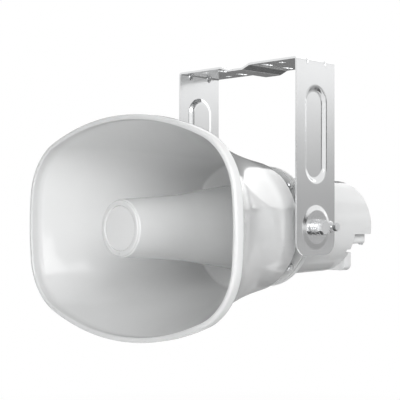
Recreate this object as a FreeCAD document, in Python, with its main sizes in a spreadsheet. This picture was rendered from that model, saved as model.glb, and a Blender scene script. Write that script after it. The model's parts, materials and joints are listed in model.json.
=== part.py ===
import FreeCAD, Part
import math
import os
import Sketcher

# PA horn speaker: a reentrant horn with its driver and line transformer, tilting in a folded U bracket.
# Frame: the origin is the middle of the bracket's top face, +Z up, the mouth faces -Y, lengths in mm.
# Every piece is drawn about the tilt pivot and placed axis_drop lower.

os.makedirs("parts", exist_ok=True)
doc = FreeCAD.newDocument("PaHornSpeaker")

# Driving dimensions
SIZES = {
    # Bracket: one folded steel sheet
    "axis_drop": 166,
    "leg_gap": 12.4,
    "leg_width": 60,
    "leg_below": 28,
    "sheet": 2,
    "bend_radius": 3,
    "leg_corner": 15,
    "plate_hole_radius": 3.5,
    "plate_hole_x": 53,
    "plate_hole_y": 17.5,
    "slot_x": 32,
    "slot_y": 16,
    "slot_width": 6,
    "slot_length": 15,
    "dip_half_top": 20,
    "dip_half_floor": 10,
    "dip_depth": 4,
    "dip_rounding": 8,
    "rib_half_width": 16.5,
    "rib_low": 44,
    "rib_top_gap": 26.5,
    "rib_slope": 4,
    "rib_depth": 3,
    "boss_foot_radius": 21.6,
    "boss_top_radius": 17,
    "boss_height": 1.2,
    "recess_foot_radius": 20.2,
    "recess_top_radius": 16,
    "lock_pad_radius": 5.6,
    "gusset_y": 14,
    "gusset_leg": 8,
    "gusset_width": 3,
    "gusset_groove": 1.2,
    "gusset_groove_reach": 6,
    # Pivot
    "pivot_bolt_radius": 4,
    "pivot_clearance": 0.05,
    "pivot_head_flats": 13,
    "pivot_head_height": 5.3,
    "pivot_bolt_reach": 12.5,
    "pivot_washer_radius": 8,
    "pivot_washer_thickness": 1.6,
    "washer_clearance": 0.1,
    "collar_radius": 7.5,
    "spring_washer_radius": 7.1,
    "spring_washer_thickness": 2.2,
    "spring_washer_slit": 1.2,
    "insert_radius": 5.5,
    "insert_length": 9,
    "tip_room_clearance": 0.5,
    "tip_room_length": 8,
    # Lock screw
    "lock_radius_from_pivot": 22.6,
    "lock_screw_radius": 2,
    "lock_slot_clearance": 0.4,
    "lock_head_flats": 7.2,
    "lock_head_height": 4,
    "lock_shank_shown": 3.2,
    "lock_washer_radius": 4.5,
    "lock_washer_thickness": 1,
    "lock_nut_side": 6.6,
    "lock_nut_height": 3,
    "lock_screw_end": 0.7,
    # Ear of the pivot ring
    "ear_thickness": 5,
    "ear_root_depth": 6,
    "ear_overlap": 1,
    "ear_gap": 0.3,
    "ear_hub_radius": 16,
    "ear_hub_length": 9.7,
    "ear_sector_radius": 27.6,
    "ear_arm_half_height": 6,
    "ear_arm_front": 5,
    "ear_arm_rear": 16.5,
    "ear_rib_low": 17,
    "ear_rib_high": 23,
    "ear_rib_front": 8,
    "tilt_up": 30,
    "tilt_down": 75,
    "slot_spare_angle": 4,
    "ear_low_angle": -86,
    "ear_high_angle": 74,
    # Bell
    "mouth_front": -183,
    "mouth_half_width": 143.8,
    "mouth_half_height": 104,
    "mouth_top_radius": 268,
    "mouth_side_radius": 315,
    "mouth_corner_radius": 61,
    "lip_depth": 9,
    "lip_step": 1.8,
    "lip_rounding": 2.4,
    "bell_wall": 3,
    "bell_rear": -10,
    "bell_rear_radius": 67.6,
    "flare_width_slope": 0.08,
    "flare_height_slope": 0.11,
    "floor_back": -17,
    "floor_thickness": 5,
    "floor_skin": 1,
    "neck_radius": 50,
    "neck_wall": 3,
    # Ring stack behind the bell
    "ring_radius": 63.5,
    "flange_front": 9.5,
    "flange_thickness": 2.3,
    "gasket_thickness": 1,
    "gasket_inset": 1,
    "pivot_ring_thickness": 5.2,
    "flange_screw_circle": 59.3,
    "flange_boss_radius": 4.2,
    "flange_boss_height": 4.5,
    "flange_screw_radius": 1.6,
    "flange_screw_head_radius": 3.2,
    "flange_screw_head_height": 2,
    # Rear housing
    "housing_front_radius": 52.6,
    "housing_rear_radius": 50.6,
    "housing_rear": 141,
    "housing_wall": 3,
    "housing_edge": 3,
    "housing_edge_bulge": 0.9,
    "housing_flange_radius": 60.5,
    "housing_flange_thickness": 3,
    "housing_screw_circle": 56.5,
    "step_front": 109,
    "step_top": -9.3,
    "step_wall": 3,
    "groove_top": -26,
    "groove_bottom": -29.5,
    "groove_depth": 6,
    "step_clearance": 5,
    "shaft_clearance": 1,
    "shaft_rear_gap": 6,
    # Service cover under the step
    "cover_half_width": 44.5,
    "cover_height": 10.5,
    "cover_rear": 137,
    "cover_front_gap": 0.2,
    "cover_wall": 2.5,
    "cover_rounding": 3,
    "cover_post": 8,
    "cover_head_radius": 2.8,
    "cover_head_height": 1.8,
    "cover_screw_bite": 2.5,
    # Junction box
    "box_half_width": 36,
    "box_bottom": -49.5,
    "box_rear": 122,
    "box_wall": 2.5,
    "box_rounding": 7,
    "box_rear_rounding": 1.5,
    "box_window_half_width": 18,
    "box_seal_thickness": 1,
    "box_seal_band": 2.5,
    "box_post_radius": 4,
    "box_screw_x": 29,
    "box_screw_z": -37.5,
    "box_round_radius": 47.4,
    "box_window_lift": 7.5,
    # Cable gland
    "gland_z": -39.5,
    "gland_body_flats": 16,
    "gland_body_length": 5,
    "gland_thread_radius": 6.2,
    "gland_bore_radius": 4,
    "gland_nut_flats": 15,
    "gland_nut_length": 9,
    "gland_seal_radius": 5,
    "gland_stem": 8,
    "gland_inner_length": 6,
    "gland_locknut_flats": 14.5,
    "gland_locknut_height": 3,
    "gland_nut_dome": 1.5,
    "gland_dome_radius": 5.7,
    "gland_nut_gap": 0.2,
    # Reflector and tone arm
    "reflector_front_radius": 26.8,
    "reflector_knee_radius": 30.2,
    "reflector_knee_back": 51,
    "reflector_bend_radius": 31.8,
    "reflector_bend_back": 73,
    "reflector_rear_radius": 42.5,
    "reflector_rear": -38,
    "reflector_wall": 2.2,
    "reflector_chamfer": 0.9,
    "face_ring_radius": 25.7,
    "face_ring_bore": 20.6,
    "face_ring_thickness": 2,
    "face_disc_gap": 0.1,
    "face_disc_thickness": 1.2,
    "drain_radius": 0.7,
    "tone_front_back": 25,
    "tone_front_bore": 13,
    "tone_wall": 2,
    "tone_flange_radius": 44,
    "tone_flange_thickness": 4,
    "tone_fit": 0.3,
    "fin_front_back": 31,
    "fin_length": 18,
    "fin_thickness": 2.5,
    "fin_root": 0.5,
    # Driver
    "throat_radius": 9.5,
    "throat_gasket": 0.8,
    "throat_gasket_bore": 10.5,
    "cap_radius": 43.5,
    "cap_thickness": 9,
    "cap_cavity_radius": 21,
    "cap_cavity_depth": 5.3,
    "cap_cavity_front_radius": 12,
    "plug_radius": 7,
    "plug_nose_radius": 1.5,
    "plug_length": 8.5,
    "plug_web": 1.4,
    "plug_behind": 0.5,
    "diaphragm_radius": 27.5,
    "diaphragm_film": 0.4,
    "diaphragm_gap": 1,
    "dome_height": 4,
    "dome_shoulder_radius": 13,
    "dome_shoulder_height": 2.1,
    "dome_crown_radius": 7,
    "dome_crown_height": 3.5,
    "coil_radius": 19.3,
    "coil_winding": 0.6,
    "coil_length": 5,
    "former_length": 6.5,
    "clamp_ring_bore": 27.6,
    "clamp_ring_thickness": 2.4,
    "top_plate_radius": 36,
    "top_plate_thickness": 5,
    "air_gap": 0.7,
    "pole_gap": 0.6,
    "magnet_radius": 40,
    "magnet_bore": 24,
    "magnet_length": 12,
    "yoke_radius": 37,
    "yoke_thickness": 5,
    "driver_screw_circle": 31.8,
    "driver_screw_radius": 1.9,
    "driver_head_radius": 3.4,
    "driver_head_height": 2.4,
    "driver_head_gap": 0.3,
    "driver_screw_bite": 4,
    "mount_screw_circle": 39.6,
    "mount_screw_radius": 1.6,
    "mount_head_radius": 3,
    "mount_head_height": 2.2,
    # Driver terminals
    "terminal_depth": 5,
    "terminal_height": 6,
    "terminal_x": 12,
    "terminal_z": -10,
    "tab_width": 2.8,
    "tab_thickness": 0.8,
    "tab_length": 8,
    # Chassis plate and transformer
    "chassis_front": 40,
    "chassis_thickness": 2,
    "chassis_rim": 0.5,
    "chassis_screw_inset": 2.5,
    "chassis_screw_radius": 1.5,
    "chassis_head_radius": 2.8,
    "chassis_head_height": 2,
    "chassis_post_sink": 0.5,
    "chassis_post_radius": 4.2,
    "chassis_post_length": 12,
    "chassis_pilot": 11,
    "chassis_screw_bite": 10,
    "core_width": 48,
    "core_length": 40,
    "core_stack": 18,
    "core_leg": 16,
    "core_window_width": 8,
    "core_window_length": 24,
    "core_z": 10,
    "winding_overhang": 7,
    "winding_gap": 0.3,
    "winding_fit": 0.1,
    "strap_sheet": 1.2,
    "strap_tab": 10,
    # Terminal block
    "block_width": 30,
    "block_depth": 12,
    "block_height": 11,
    "block_lift": 0.3,
    "block_screw_radius": 2,
    "block_screw_length": 4,
    "wire_hole_radius": 1.3,
    "wire_hole_depth": 3,
    # Leads inside
    "lead_radius": 0.9,
    "lead_hole_radius": 2.7,
    "lead_run": 14,
}


class Size:
    """A number that remembers the sheet expression it comes from."""

    def __init__(self, value, text):
        self.value = float(value)
        self.text = text

    def join(self, sign, other, value):
        return Size(value, "(%s %s %s)" % (self.text, sign, other.text))

    def __add__(self, other):
        other = size_of(other)
        return self.join("+", other, self.value + other.value)

    def __sub__(self, other):
        other = size_of(other)
        return self.join("-", other, self.value - other.value)

    def __mul__(self, other):
        other = size_of(other)
        return self.join("*", other, self.value * other.value)

    def __truediv__(self, other):
        other = size_of(other)
        return self.join("/", other, self.value / other.value)

    def __radd__(self, other):
        return size_of(other) + self

    def __rsub__(self, other):
        return size_of(other) - self

    def __rmul__(self, other):
        return size_of(other) * self

    def __neg__(self):
        return size_of(0) - self


def size_of(number):
    """The number as a Size."""
    if isinstance(number, Size):
        return number
    return Size(number, "(%.9f)" % number)


class Sizes:
    """The sheet's cells as Size values."""

    def __init__(self, table):
        for name, value in table.items():
            setattr(self, name, Size(value, "Sizes." + name))


def make_sheet(table):
    """Write the driving dimensions into the document's sheet."""
    sheet = doc.addObject("Spreadsheet::Sheet", "Sizes")
    for row, (name, value) in enumerate(table.items(), start=1):
        sheet.set("A%d" % row, name)
        sheet.set("B%d" % row, str(value))
        sheet.setAlias("B%d" % row, name)
    doc.recompute()
    return sheet


make_sheet(SIZES)
s = Sizes(SIZES)
nodes = []

# How far cutting tools reach past a face, and how close counts as the same place
OVER = 1
NEAR = 0.01

ALONG = {
    "X": FreeCAD.Rotation(FreeCAD.Vector(0, 1, 0), 90),
    "Y": FreeCAD.Rotation(FreeCAD.Vector(1, 0, 0), -90),
    "Z": FreeCAD.Rotation(),
}


# Patterns round the horn's axis: count, first angle from +X, circle radius
FLANGE_SCREWS = (4, 45, s.flange_screw_circle)
HOUSING_SCREWS = (4, 22.5, s.housing_screw_circle)
MOUNT_SCREWS = (3, 30, s.mount_screw_circle)
DRIVER_SCREWS = (4, 0, s.driver_screw_circle)
BLADE_ANGLES = (90, 210, 330)
BLOCK_WAYS = 3


# Helpers that bind properties to the sheet

def bind(item, name, size):
    """Set a property and tie it to its expression."""
    size = size_of(size)
    if "." not in name:
        setattr(item, name, size.value)
    item.setExpression(name, size.text)


def place(item, x=0, y=0, z=0, rotation=None):
    """Place an item drawn about the pivot, in the row frame."""
    x = size_of(x)
    y = size_of(y)
    z = size_of(z) - s.axis_drop
    turn = rotation or FreeCAD.Rotation()
    item.Placement = FreeCAD.Placement(FreeCAD.Vector(x.value, y.value, z.value), turn)
    bind(item, "Placement.Base.x", x)
    bind(item, "Placement.Base.y", y)
    bind(item, "Placement.Base.z", z)
    return item


def node(item, label):
    """Name a finished sub-part."""
    item.Label = label
    nodes.append(item)
    return item


def start_point(along, start, u, v):
    """The place of a round bar: start on its own axis, u and v on the other two."""
    if along == "X":
        return start, u, v
    if along == "Y":
        return u, start, v
    return u, v, start


def rod(along, radius, start, length, u=0, v=0):
    """A round bar along an axis."""
    item = doc.addObject("Part::Cylinder", "Rod")
    bind(item, "Radius", radius)
    bind(item, "Height", length)
    return place(item, *start_point(along, start, u, v), ALONG[along])


def taper(along, first, last, start, length, u=0, v=0):
    """A cone along an axis."""
    item = doc.addObject("Part::Cone", "Taper")
    bind(item, "Radius1", first)
    bind(item, "Radius2", last)
    bind(item, "Height", length)
    return place(item, *start_point(along, start, u, v), ALONG[along])


def hexagon(along, flats, start, length, u=0, v=0, spin=0):
    """A six-sided bar along an axis, sized across its flats."""
    item = doc.addObject("Part::Prism", "Hexagon")
    item.Polygon = 6
    bind(item, "Circumradius", flats / math.sqrt(3))
    bind(item, "Height", length)
    turn = ALONG[along].multiply(FreeCAD.Rotation(FreeCAD.Vector(0, 0, 1), spin))
    return place(item, *start_point(along, start, u, v), turn)


def block(low, high):
    """A box between two corners."""
    item = doc.addObject("Part::Box", "Block")
    bind(item, "Length", size_of(high[0]) - low[0])
    bind(item, "Width", size_of(high[1]) - low[1])
    bind(item, "Height", size_of(high[2]) - low[2])
    return place(item, *low)


def join(items):
    """Items fused into one."""
    if len(items) == 1:
        return items[0]
    item = doc.addObject("Part::MultiFuse", "Join")
    item.Shapes = items
    item.Refine = True
    return item


def cut(base, tools):
    """A base with tools taken away."""
    item = doc.addObject("Part::Cut", "Cut")
    item.Base = base
    item.Tool = join(tools)
    item.Refine = True
    return item


def shared(first, second):
    """What two items have in common."""
    item = doc.addObject("Part::Common", "Shared")
    item.Base = first
    item.Tool = second
    return item


def mirrored(item):
    """The same item on the left side."""
    other = doc.addObject("Part::Mirroring", "Left")
    other.Source = item
    other.Normal = (1, 0, 0)
    other.Base = (0, 0, 0)
    return other


def group(items):
    """Separate solids kept in one node."""
    item = doc.addObject("Part::Compound", "Group")
    item.Links = items
    return item


def made(shape):
    """A shape made by code about the pivot."""
    item = doc.addObject("Part::Feature", "Made")
    item.Shape = shape
    return place(item)


def rounded(base, radius, wanted):
    """A base whose wanted edges are rounded."""
    doc.recompute()
    item = doc.addObject("Part::Fillet", "Rounded")
    item.Base = base
    chosen = [i for i, edge in enumerate(base.Shape.Edges, start=1) if wanted(edge)]
    item.Edges = [(i, radius.value, radius.value) for i in chosen]
    return item


def ring_spots(pattern):
    """The (x, z) places of a pattern given as (count, first angle, circle radius)."""
    count, first_angle, circle = pattern
    angles = [math.radians(first_angle + 360 / count * i) for i in range(count)]
    return [(circle * math.cos(angle), circle * math.sin(angle)) for angle in angles]


def ring_rods(pattern, radius, start, length):
    """Round bars along the horn's axis at each place of a pattern."""
    return [rod("Y", radius, start, length, x, z) for x, z in ring_spots(pattern)]


def screw(radius, head_radius, head_end, head_height, length, x, z, facing):
    """A pan-head screw along the horn's axis; facing is -1 when its head looks at the mouth."""
    total = head_height + length
    if facing < 0:
        head = rod("Y", head_radius, head_end, head_height, x, z)
        shank = rod("Y", radius, head_end, total, x, z)
    else:
        head = rod("Y", head_radius, head_end - head_height, head_height, x, z)
        shank = rod("Y", radius, head_end - total, total, x, z)
    return join([head, shank])


def ring_screws(spots, radius, head_radius, head_end, head_height, length, facing):
    """One node of equal screws at several (x, z) places."""
    return group([screw(radius, head_radius, head_end, head_height, length, x, z, facing) for x, z in spots])


def radial_blades(start, length, reach, thickness):
    """Three flat blades standing out from the horn's axis."""
    half = thickness / 2
    blades = []
    for angle in BLADE_ANGLES:
        blade = doc.addObject("Part::Box", "Blade")
        bind(blade, "Length", reach)
        bind(blade, "Width", length)
        bind(blade, "Height", thickness)
        turn = FreeCAD.Rotation(FreeCAD.Vector(0, -1, 0), angle)
        radial = math.radians(angle)
        blades.append(place(blade, half * math.sin(radial), start, -half * math.cos(radial), turn))
    return join(blades)


# Sketched bodies

def outline_sketch(body, plane_role, points):
    """A closed sketch of straight lines whose corners are tied to the sheet."""
    sketch = body.newObject("Sketcher::SketchObject", "Outline")
    plane = [f for f in body.Origin.OriginFeatures if f.Role == plane_role][0]
    sketch.AttachmentSupport = (plane, "")
    sketch.MapMode = "FlatFace"
    spots = [FreeCAD.Vector(size_of(u).value, size_of(v).value, 0) for u, v in points]
    count = len(spots)
    for i in range(count):
        sketch.addGeometry(Part.LineSegment(spots[i], spots[(i + 1) % count]), False)
    for i in range(count):
        sketch.addConstraint(Sketcher.Constraint("Coincident", i, 2, (i + 1) % count, 1))
    for i, (u, v) in enumerate(points):
        for kind, size in (("DistanceX", size_of(u)), ("DistanceY", size_of(v))):
            number = sketch.addConstraint(Sketcher.Constraint(kind, -1, 1, i, 1, size.value))
            sketch.setExpression("Constraints[%d]" % number, size.text)
    return sketch


def turned(points):
    """A body turned about the horn's axis from (radius, y) corners."""
    body = place(doc.addObject("PartDesign::Body", "Turned"))
    sketch = outline_sketch(body, "XY_Plane", points)
    feature = body.newObject("PartDesign::Revolution", "Turn")
    feature.Profile = sketch
    feature.ReferenceAxis = (sketch, ["V_Axis"])
    feature.Angle = 360
    body.Tip = feature
    return body


def folded(points, width):
    """A body padded evenly to both sides of the XZ plane from (x, z) corners."""
    body = place(doc.addObject("PartDesign::Body", "Folded"))
    sketch = outline_sketch(body, "XZ_Plane", points)
    feature = body.newObject("PartDesign::Pad", "Pad")
    feature.Profile = sketch
    feature.Midplane = True
    bind(feature, "Length", width)
    body.Tip = feature
    return body


# Bracket

leg_inner = s.bell_rear_radius + s.leg_gap
half_span = leg_inner + s.sheet
seat = half_span + s.boss_height


def stadium(x, low, high, half_width):
    """A closed wire with round ends in the plane at x."""
    top = high - half_width
    bottom = low + half_width
    right_bottom = FreeCAD.Vector(x, half_width, bottom)
    right_top = FreeCAD.Vector(x, half_width, top)
    left_top = FreeCAD.Vector(x, -half_width, top)
    left_bottom = FreeCAD.Vector(x, -half_width, bottom)
    crown = Part.Arc(right_top, FreeCAD.Vector(x, 0, high), left_top).toShape()
    foot = Part.Arc(left_bottom, FreeCAD.Vector(x, 0, low), right_bottom).toShape()
    rise = Part.LineSegment(right_bottom, right_top).toShape()
    fall = Part.LineSegment(left_top, left_bottom).toShape()
    return Part.Wire([rise, crown, fall, foot])


def pressed_rib(outer_x, spread):
    """The tapered body of the leg's pressed rib, going inwards from outer_x."""
    low = s.rib_low.value - spread
    high = s.axis_drop.value - s.rib_top_gap.value + spread
    half = s.rib_half_width.value + spread
    slope = s.rib_slope.value
    wide = stadium(outer_x, low, high, half)
    narrow = stadium(outer_x - s.rib_depth.value, low + slope, high - slope, half - slope)
    return made(Part.makeLoft([wide, narrow], True, True))


def bracket_section():
    """Corners of the folded sheet's section, dip included."""
    top = s.axis_drop
    floor = top - s.dip_depth
    under = top - s.sheet
    low = -s.leg_below
    return [
        (half_span, low), (half_span, top), (s.dip_half_top, top), (s.dip_half_floor, floor),
        (-s.dip_half_floor, floor), (-s.dip_half_top, top), (-half_span, top), (-half_span, low),
        (-leg_inner, low), (-leg_inner, under), (-s.dip_half_top, under),
        (-s.dip_half_floor, floor - s.sheet), (s.dip_half_floor, floor - s.sheet),
        (s.dip_half_top, under), (leg_inner, under), (leg_inner, low),
    ]


def is_along(edge, axis):
    """Whether a straight edge runs along an axis."""
    if edge.Curve.TypeId != "Part::GeomLine":
        return False
    return abs(abs(edge.Curve.Direction.dot(axis)) - 1) < 1e-6


def edge_middle(edge):
    """The middle of an edge, about the pivot."""
    return edge.CenterOfMass + FreeCAD.Vector(0, 0, s.axis_drop.value)


def same(value, size):
    """Whether a measured value is at a size."""
    return abs(value - size.value) < NEAR


def bend_edge(edge):
    """Outer bends between the plate and the legs."""
    spot = edge_middle(edge)
    at_corner = same(spot.z, s.axis_drop) and same(abs(spot.x), half_span)
    return is_along(edge, FreeCAD.Vector(0, 1, 0)) and at_corner


def inner_bend_edge(edge):
    """Inner bends between the plate and the legs."""
    spot = edge_middle(edge)
    at_corner = same(spot.z, s.axis_drop - s.sheet) and same(abs(spot.x), leg_inner)
    return is_along(edge, FreeCAD.Vector(0, 1, 0)) and at_corner


def dip_edge(edge):
    """Bends of the dip across the plate."""
    spot = edge_middle(edge)
    near = abs(spot.x) < s.dip_half_top.value + NEAR
    return is_along(edge, FreeCAD.Vector(0, 1, 0)) and near


def foot_corner_edge(edge):
    """Corners at the legs' lower ends."""
    spot = edge_middle(edge)
    return is_along(edge, FreeCAD.Vector(1, 0, 0)) and same(spot.z, -s.leg_below)


def bent_sheet():
    """The folded sheet with its bends and rounded feet."""
    sheet = folded(bracket_section(), s.leg_width)
    sheet = rounded(sheet, s.dip_rounding, dip_edge)
    sheet = rounded(sheet, s.bend_radius, bend_edge)
    sheet = rounded(sheet, s.bend_radius - s.sheet, inner_bend_edge)
    return rounded(sheet, s.leg_corner, foot_corner_edge)


def plate_slot(x, y):
    """One slotted hole of the top plate."""
    half = s.slot_width / 2
    reach = (s.slot_length - s.slot_width) / 2
    low = s.axis_drop - s.sheet * 2
    depth = s.sheet * 3
    middle = block((x - half, y - reach, low), (x + half, y + reach, low + depth))
    ends = [rod("Z", half, low, depth, x, y + reach), rod("Z", half, low, depth, x, y - reach)]
    return [middle] + ends


def gusset(y):
    """The pressed stiffener in the right bend: the added web and the groove pressed into it."""
    top = s.axis_drop
    corner = FreeCAD.Vector(leg_inner.value, 0, top.value - s.sheet.value)
    arm = s.gusset_leg.value
    slack = s.sheet.value / 2
    points = [
        corner + FreeCAD.Vector(slack, 0, slack), corner + FreeCAD.Vector(slack, 0, -arm),
        corner + FreeCAD.Vector(0, 0, -arm), corner + FreeCAD.Vector(-arm, 0, 0),
        corner + FreeCAD.Vector(-arm, 0, slack),
    ]
    shift = FreeCAD.Vector(0, y.value - s.gusset_width.value / 2, 0)
    wire = Part.makePolygon([p + shift for p in points + points[:1]])
    web = made(Part.Face(wire).extrude(FreeCAD.Vector(0, s.gusset_width.value, 0)))
    groove_half = s.gusset_groove.value / 2
    depth = FreeCAD.Vector(half_span.value, 0, top.value)
    reach = s.gusset_groove_reach.value
    notch = [
        depth + FreeCAD.Vector(OVER, 0, OVER), depth + FreeCAD.Vector(OVER, 0, -reach),
        depth + FreeCAD.Vector(0, 0, -reach), depth + FreeCAD.Vector(-reach, 0, 0),
        depth + FreeCAD.Vector(-reach, 0, OVER),
    ]
    move = FreeCAD.Vector(0, y.value - groove_half, 0)
    wire = Part.makePolygon([p + move for p in notch + notch[:1]])
    groove = made(Part.Face(wire).extrude(FreeCAD.Vector(0, groove_half * 2, 0)))
    return web, groove


def make_bracket():
    """The U bracket with its ribs, bosses, holes and slots."""
    added = [bent_sheet()]
    taken = []
    for y in (s.gusset_y, -s.gusset_y):
        web, groove = gusset(y)
        added += [web, mirrored(web)]
        taken += [groove, mirrored(groove)]
    lock = s.lock_radius_from_pivot
    boss = taper("X", s.boss_foot_radius, s.boss_top_radius, half_span, s.boss_height)
    pad = rod("X", s.lock_pad_radius, half_span, s.boss_height, lock)
    recess = taper("X", s.recess_foot_radius, s.recess_top_radius, leg_inner, s.boss_height)
    pivot_hole = rod("X", s.pivot_bolt_radius + s.pivot_clearance, leg_inner - OVER, s.sheet * 3)
    lock_hole = rod("X", s.lock_screw_radius, leg_inner - OVER, s.sheet * 3, lock)
    rib_body = pressed_rib(leg_inner.value + NEAR, s.sheet.value / 2)
    rib_pocket = pressed_rib(half_span.value, 0)
    for item in (boss, pad, rib_body):
        added += [item, mirrored(item)]
    for item in (recess, pivot_hole, lock_hole, rib_pocket):
        taken += [item, mirrored(item)]
    low = s.axis_drop - s.sheet * 2
    for x in (s.plate_hole_x, -s.plate_hole_x):
        for y in (s.plate_hole_y, -s.plate_hole_y):
            taken.append(rod("Z", s.plate_hole_radius, low, s.sheet * 3, x, y))
    for x in (s.slot_x, -s.slot_x):
        for y in (s.slot_y, -s.slot_y):
            taken += plate_slot(x, y)
    return cut(join(added), taken)


node(make_bracket(), "mounting_bracket")


# Pivot hardware, right side first and mirrored for the left

washer_end = seat + s.pivot_washer_thickness
spring_end = washer_end + s.spring_washer_thickness
collar_end = spring_end + s.pivot_washer_thickness


def tube(along, outer, inner, start, length, u=0, v=0):
    """A round ring along an axis."""
    return cut(rod(along, outer, start, length, u, v), [rod(along, inner, start, length, u, v)])


def make_pivot_bolt():
    """The hex bolt with the collar under its head."""
    reach = collar_end - (leg_inner - s.pivot_bolt_reach)
    shank = rod("X", s.pivot_bolt_radius, leg_inner - s.pivot_bolt_reach, reach)
    collar = rod("X", s.collar_radius, spring_end, s.pivot_washer_thickness)
    head = hexagon("X", s.pivot_head_flats, collar_end, s.pivot_head_height)
    return join([shank, collar, head])


def make_spring_washer():
    """The split spring washer."""
    outer = s.spring_washer_radius
    bore = s.pivot_bolt_radius + s.washer_clearance
    ring = tube("X", outer, bore, washer_end, s.spring_washer_thickness)
    half = s.spring_washer_slit / 2
    slit = block((washer_end, -half, 0), (spring_end, half, outer + OVER))
    return cut(ring, [slit])


lock_y = s.lock_radius_from_pivot
lock_seat = seat + s.lock_washer_thickness
lock_head = lock_seat + s.lock_shank_shown
ear_outer = leg_inner - s.ear_gap
ear_inner = ear_outer - s.ear_thickness
nut_outer = ear_inner - s.ear_gap
nut_inner = nut_outer - s.lock_nut_height


def make_lock_screw():
    """The small hex screw that locks the tilt."""
    end = nut_inner - s.lock_screw_end
    shank = rod("X", s.lock_screw_radius, end, lock_head - end, lock_y)
    head = hexagon("X", s.lock_head_flats, lock_head, s.lock_head_height, lock_y)
    return join([shank, head])


def make_lock_nut():
    """The square nut behind the ear."""
    half = s.lock_nut_side / 2
    body = block((nut_inner, lock_y - half, -half), (nut_outer, lock_y + half, half))
    return cut(body, [rod("X", s.lock_screw_radius, nut_inner, s.lock_nut_height, lock_y)])


def both_sides(item, name):
    """Name a right piece and its mirrored left twin."""
    node(mirrored(item), name + "_left")
    node(item, name + "_right")


both_sides(make_pivot_bolt(), "pivot_bolt")
both_sides(
    tube(
        "X", s.pivot_washer_radius, s.pivot_bolt_radius + s.washer_clearance, seat,
        s.pivot_washer_thickness,
    ),
    "pivot_washer",
)
both_sides(make_spring_washer(), "pivot_spring_washer")
both_sides(make_lock_screw(), "lock_screw")
both_sides(
    tube(
        "X", s.lock_washer_radius, s.lock_screw_radius + s.washer_clearance, seat,
        s.lock_washer_thickness, lock_y,
    ),
    "lock_washer",
)
both_sides(make_lock_nut(), "lock_nut")


# Pivot ring with its two ears

gasket_front = s.flange_front + s.flange_thickness
ring_front = gasket_front + s.gasket_thickness
ring_rear = ring_front + s.pivot_ring_thickness
neck_bore = s.neck_radius - s.neck_wall


def sector(radius, start_angle, end_angle, start, length):
    """A pie slice in the YZ plane, angles from +Y towards +Z."""
    item = doc.addObject("Part::Cylinder", "Sector")
    bind(item, "Radius", radius)
    bind(item, "Height", length)
    bind(item, "Angle", end_angle - start_angle)
    toward_x = FreeCAD.Rotation(
        FreeCAD.Vector(0, 1, 0), FreeCAD.Vector(0, 0, 1), FreeCAD.Vector(1, 0, 0), "XYZ",
    )
    turn = toward_x.multiply(FreeCAD.Rotation(FreeCAD.Vector(0, 0, 1), size_of(start_angle).value))
    return place(item, start, 0, 0, turn)


def arc_slot(half_width, start, length):
    """The lock screw's path through the ear: a bent slot about the pivot."""
    first = -(s.tilt_down + s.slot_spare_angle)
    last = s.tilt_up + s.slot_spare_angle
    band = cut(
        sector(lock_y + half_width, first, last, start, length),
        [rod("X", lock_y - half_width, start, length)],
    )
    ends = []
    for angle in (first.value, last.value):
        y = lock_y * math.cos(math.radians(angle))
        z = lock_y * math.sin(math.radians(angle))
        ends.append(rod("X", half_width, start, length, y, z))
    return [band] + ends


def make_ear():
    """The right ear: hub, slotted sector, arm and rib."""
    hub = rod("X", s.ear_hub_radius, ear_outer - s.ear_hub_length, s.ear_hub_length)
    plate = sector(s.ear_sector_radius, s.ear_low_angle, s.ear_high_angle, ear_inner, s.ear_thickness)
    root = s.ring_radius - s.ear_root_depth
    end = ear_inner + s.ear_overlap
    half = s.ear_arm_half_height
    arm = block((root, s.ear_arm_front, -half), (end, s.ear_arm_rear, half))
    rib = block((root, s.ear_rib_front, s.ear_rib_low), (end, ring_rear, s.ear_rib_high))
    flange_room = rod("Y", s.ring_radius + s.ear_gap, s.bell_rear, ring_front - s.bell_rear)
    return cut(join([hub, plate, arm, rib]), [flange_room])


def make_pivot_ring():
    """The cast ring that carries the horn on its two ears."""
    ring = rod("Y", s.ring_radius, ring_front, s.pivot_ring_thickness)
    ear = make_ear()
    slot_half = s.lock_screw_radius + s.lock_slot_clearance
    slot = join(arc_slot(slot_half, ear_inner - OVER, s.ear_thickness + OVER * 2))
    insert_hole = rod("X", s.insert_radius, ear_outer - s.insert_length, s.insert_length + OVER)
    tip_reach = s.ear_hub_length + s.tip_room_length
    tip_room = rod("X", s.pivot_bolt_radius + s.tip_room_clearance, ear_outer - tip_reach, tip_reach)
    taken = [rod("Y", neck_bore, ring_front - OVER, s.pivot_ring_thickness + OVER * 2)]
    for item in (slot, insert_hole, tip_room):
        taken += [item, mirrored(item)]
    for pattern in (FLANGE_SCREWS, HOUSING_SCREWS):
        taken += ring_rods(pattern, s.flange_screw_radius, ring_front, s.pivot_ring_thickness)
    return cut(join([ring, ear, mirrored(ear)]), taken)


node(make_pivot_ring(), "pivot_ring")
both_sides(
    tube("X", s.insert_radius, s.pivot_bolt_radius, ear_outer - s.insert_length, s.insert_length),
    "pivot_insert",
)


# Bell: flare, lip, floor, neck and front flange in one moulding

def meet(first, first_reach, second, second_reach):
    """The upper right crossing of two circles given as ((x, z), radius)."""
    dx = second[0] - first[0]
    dz = second[1] - first[1]
    gap = math.hypot(dx, dz)
    along = (first_reach ** 2 - second_reach ** 2 + gap ** 2) / (2 * gap)
    side = math.sqrt(max(first_reach ** 2 - along ** 2, 0))
    x = first[0] + along * dx / gap
    z = first[1] + along * dz / gap
    return max(
        [(x - side * dz / gap, z + side * dx / gap), (x + side * dz / gap, z - side * dx / gap)],
        key=lambda spot: spot[0] + spot[1],
    )


def away(centre, through, radius):
    """The point of a circle on the far side of through, seen from centre."""
    dx = through[0] - centre[0]
    dz = through[1] - centre[1]
    gap = math.hypot(dx, dz)
    return (centre[0] + dx / gap * radius, centre[1] + dz / gap * radius)


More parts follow.
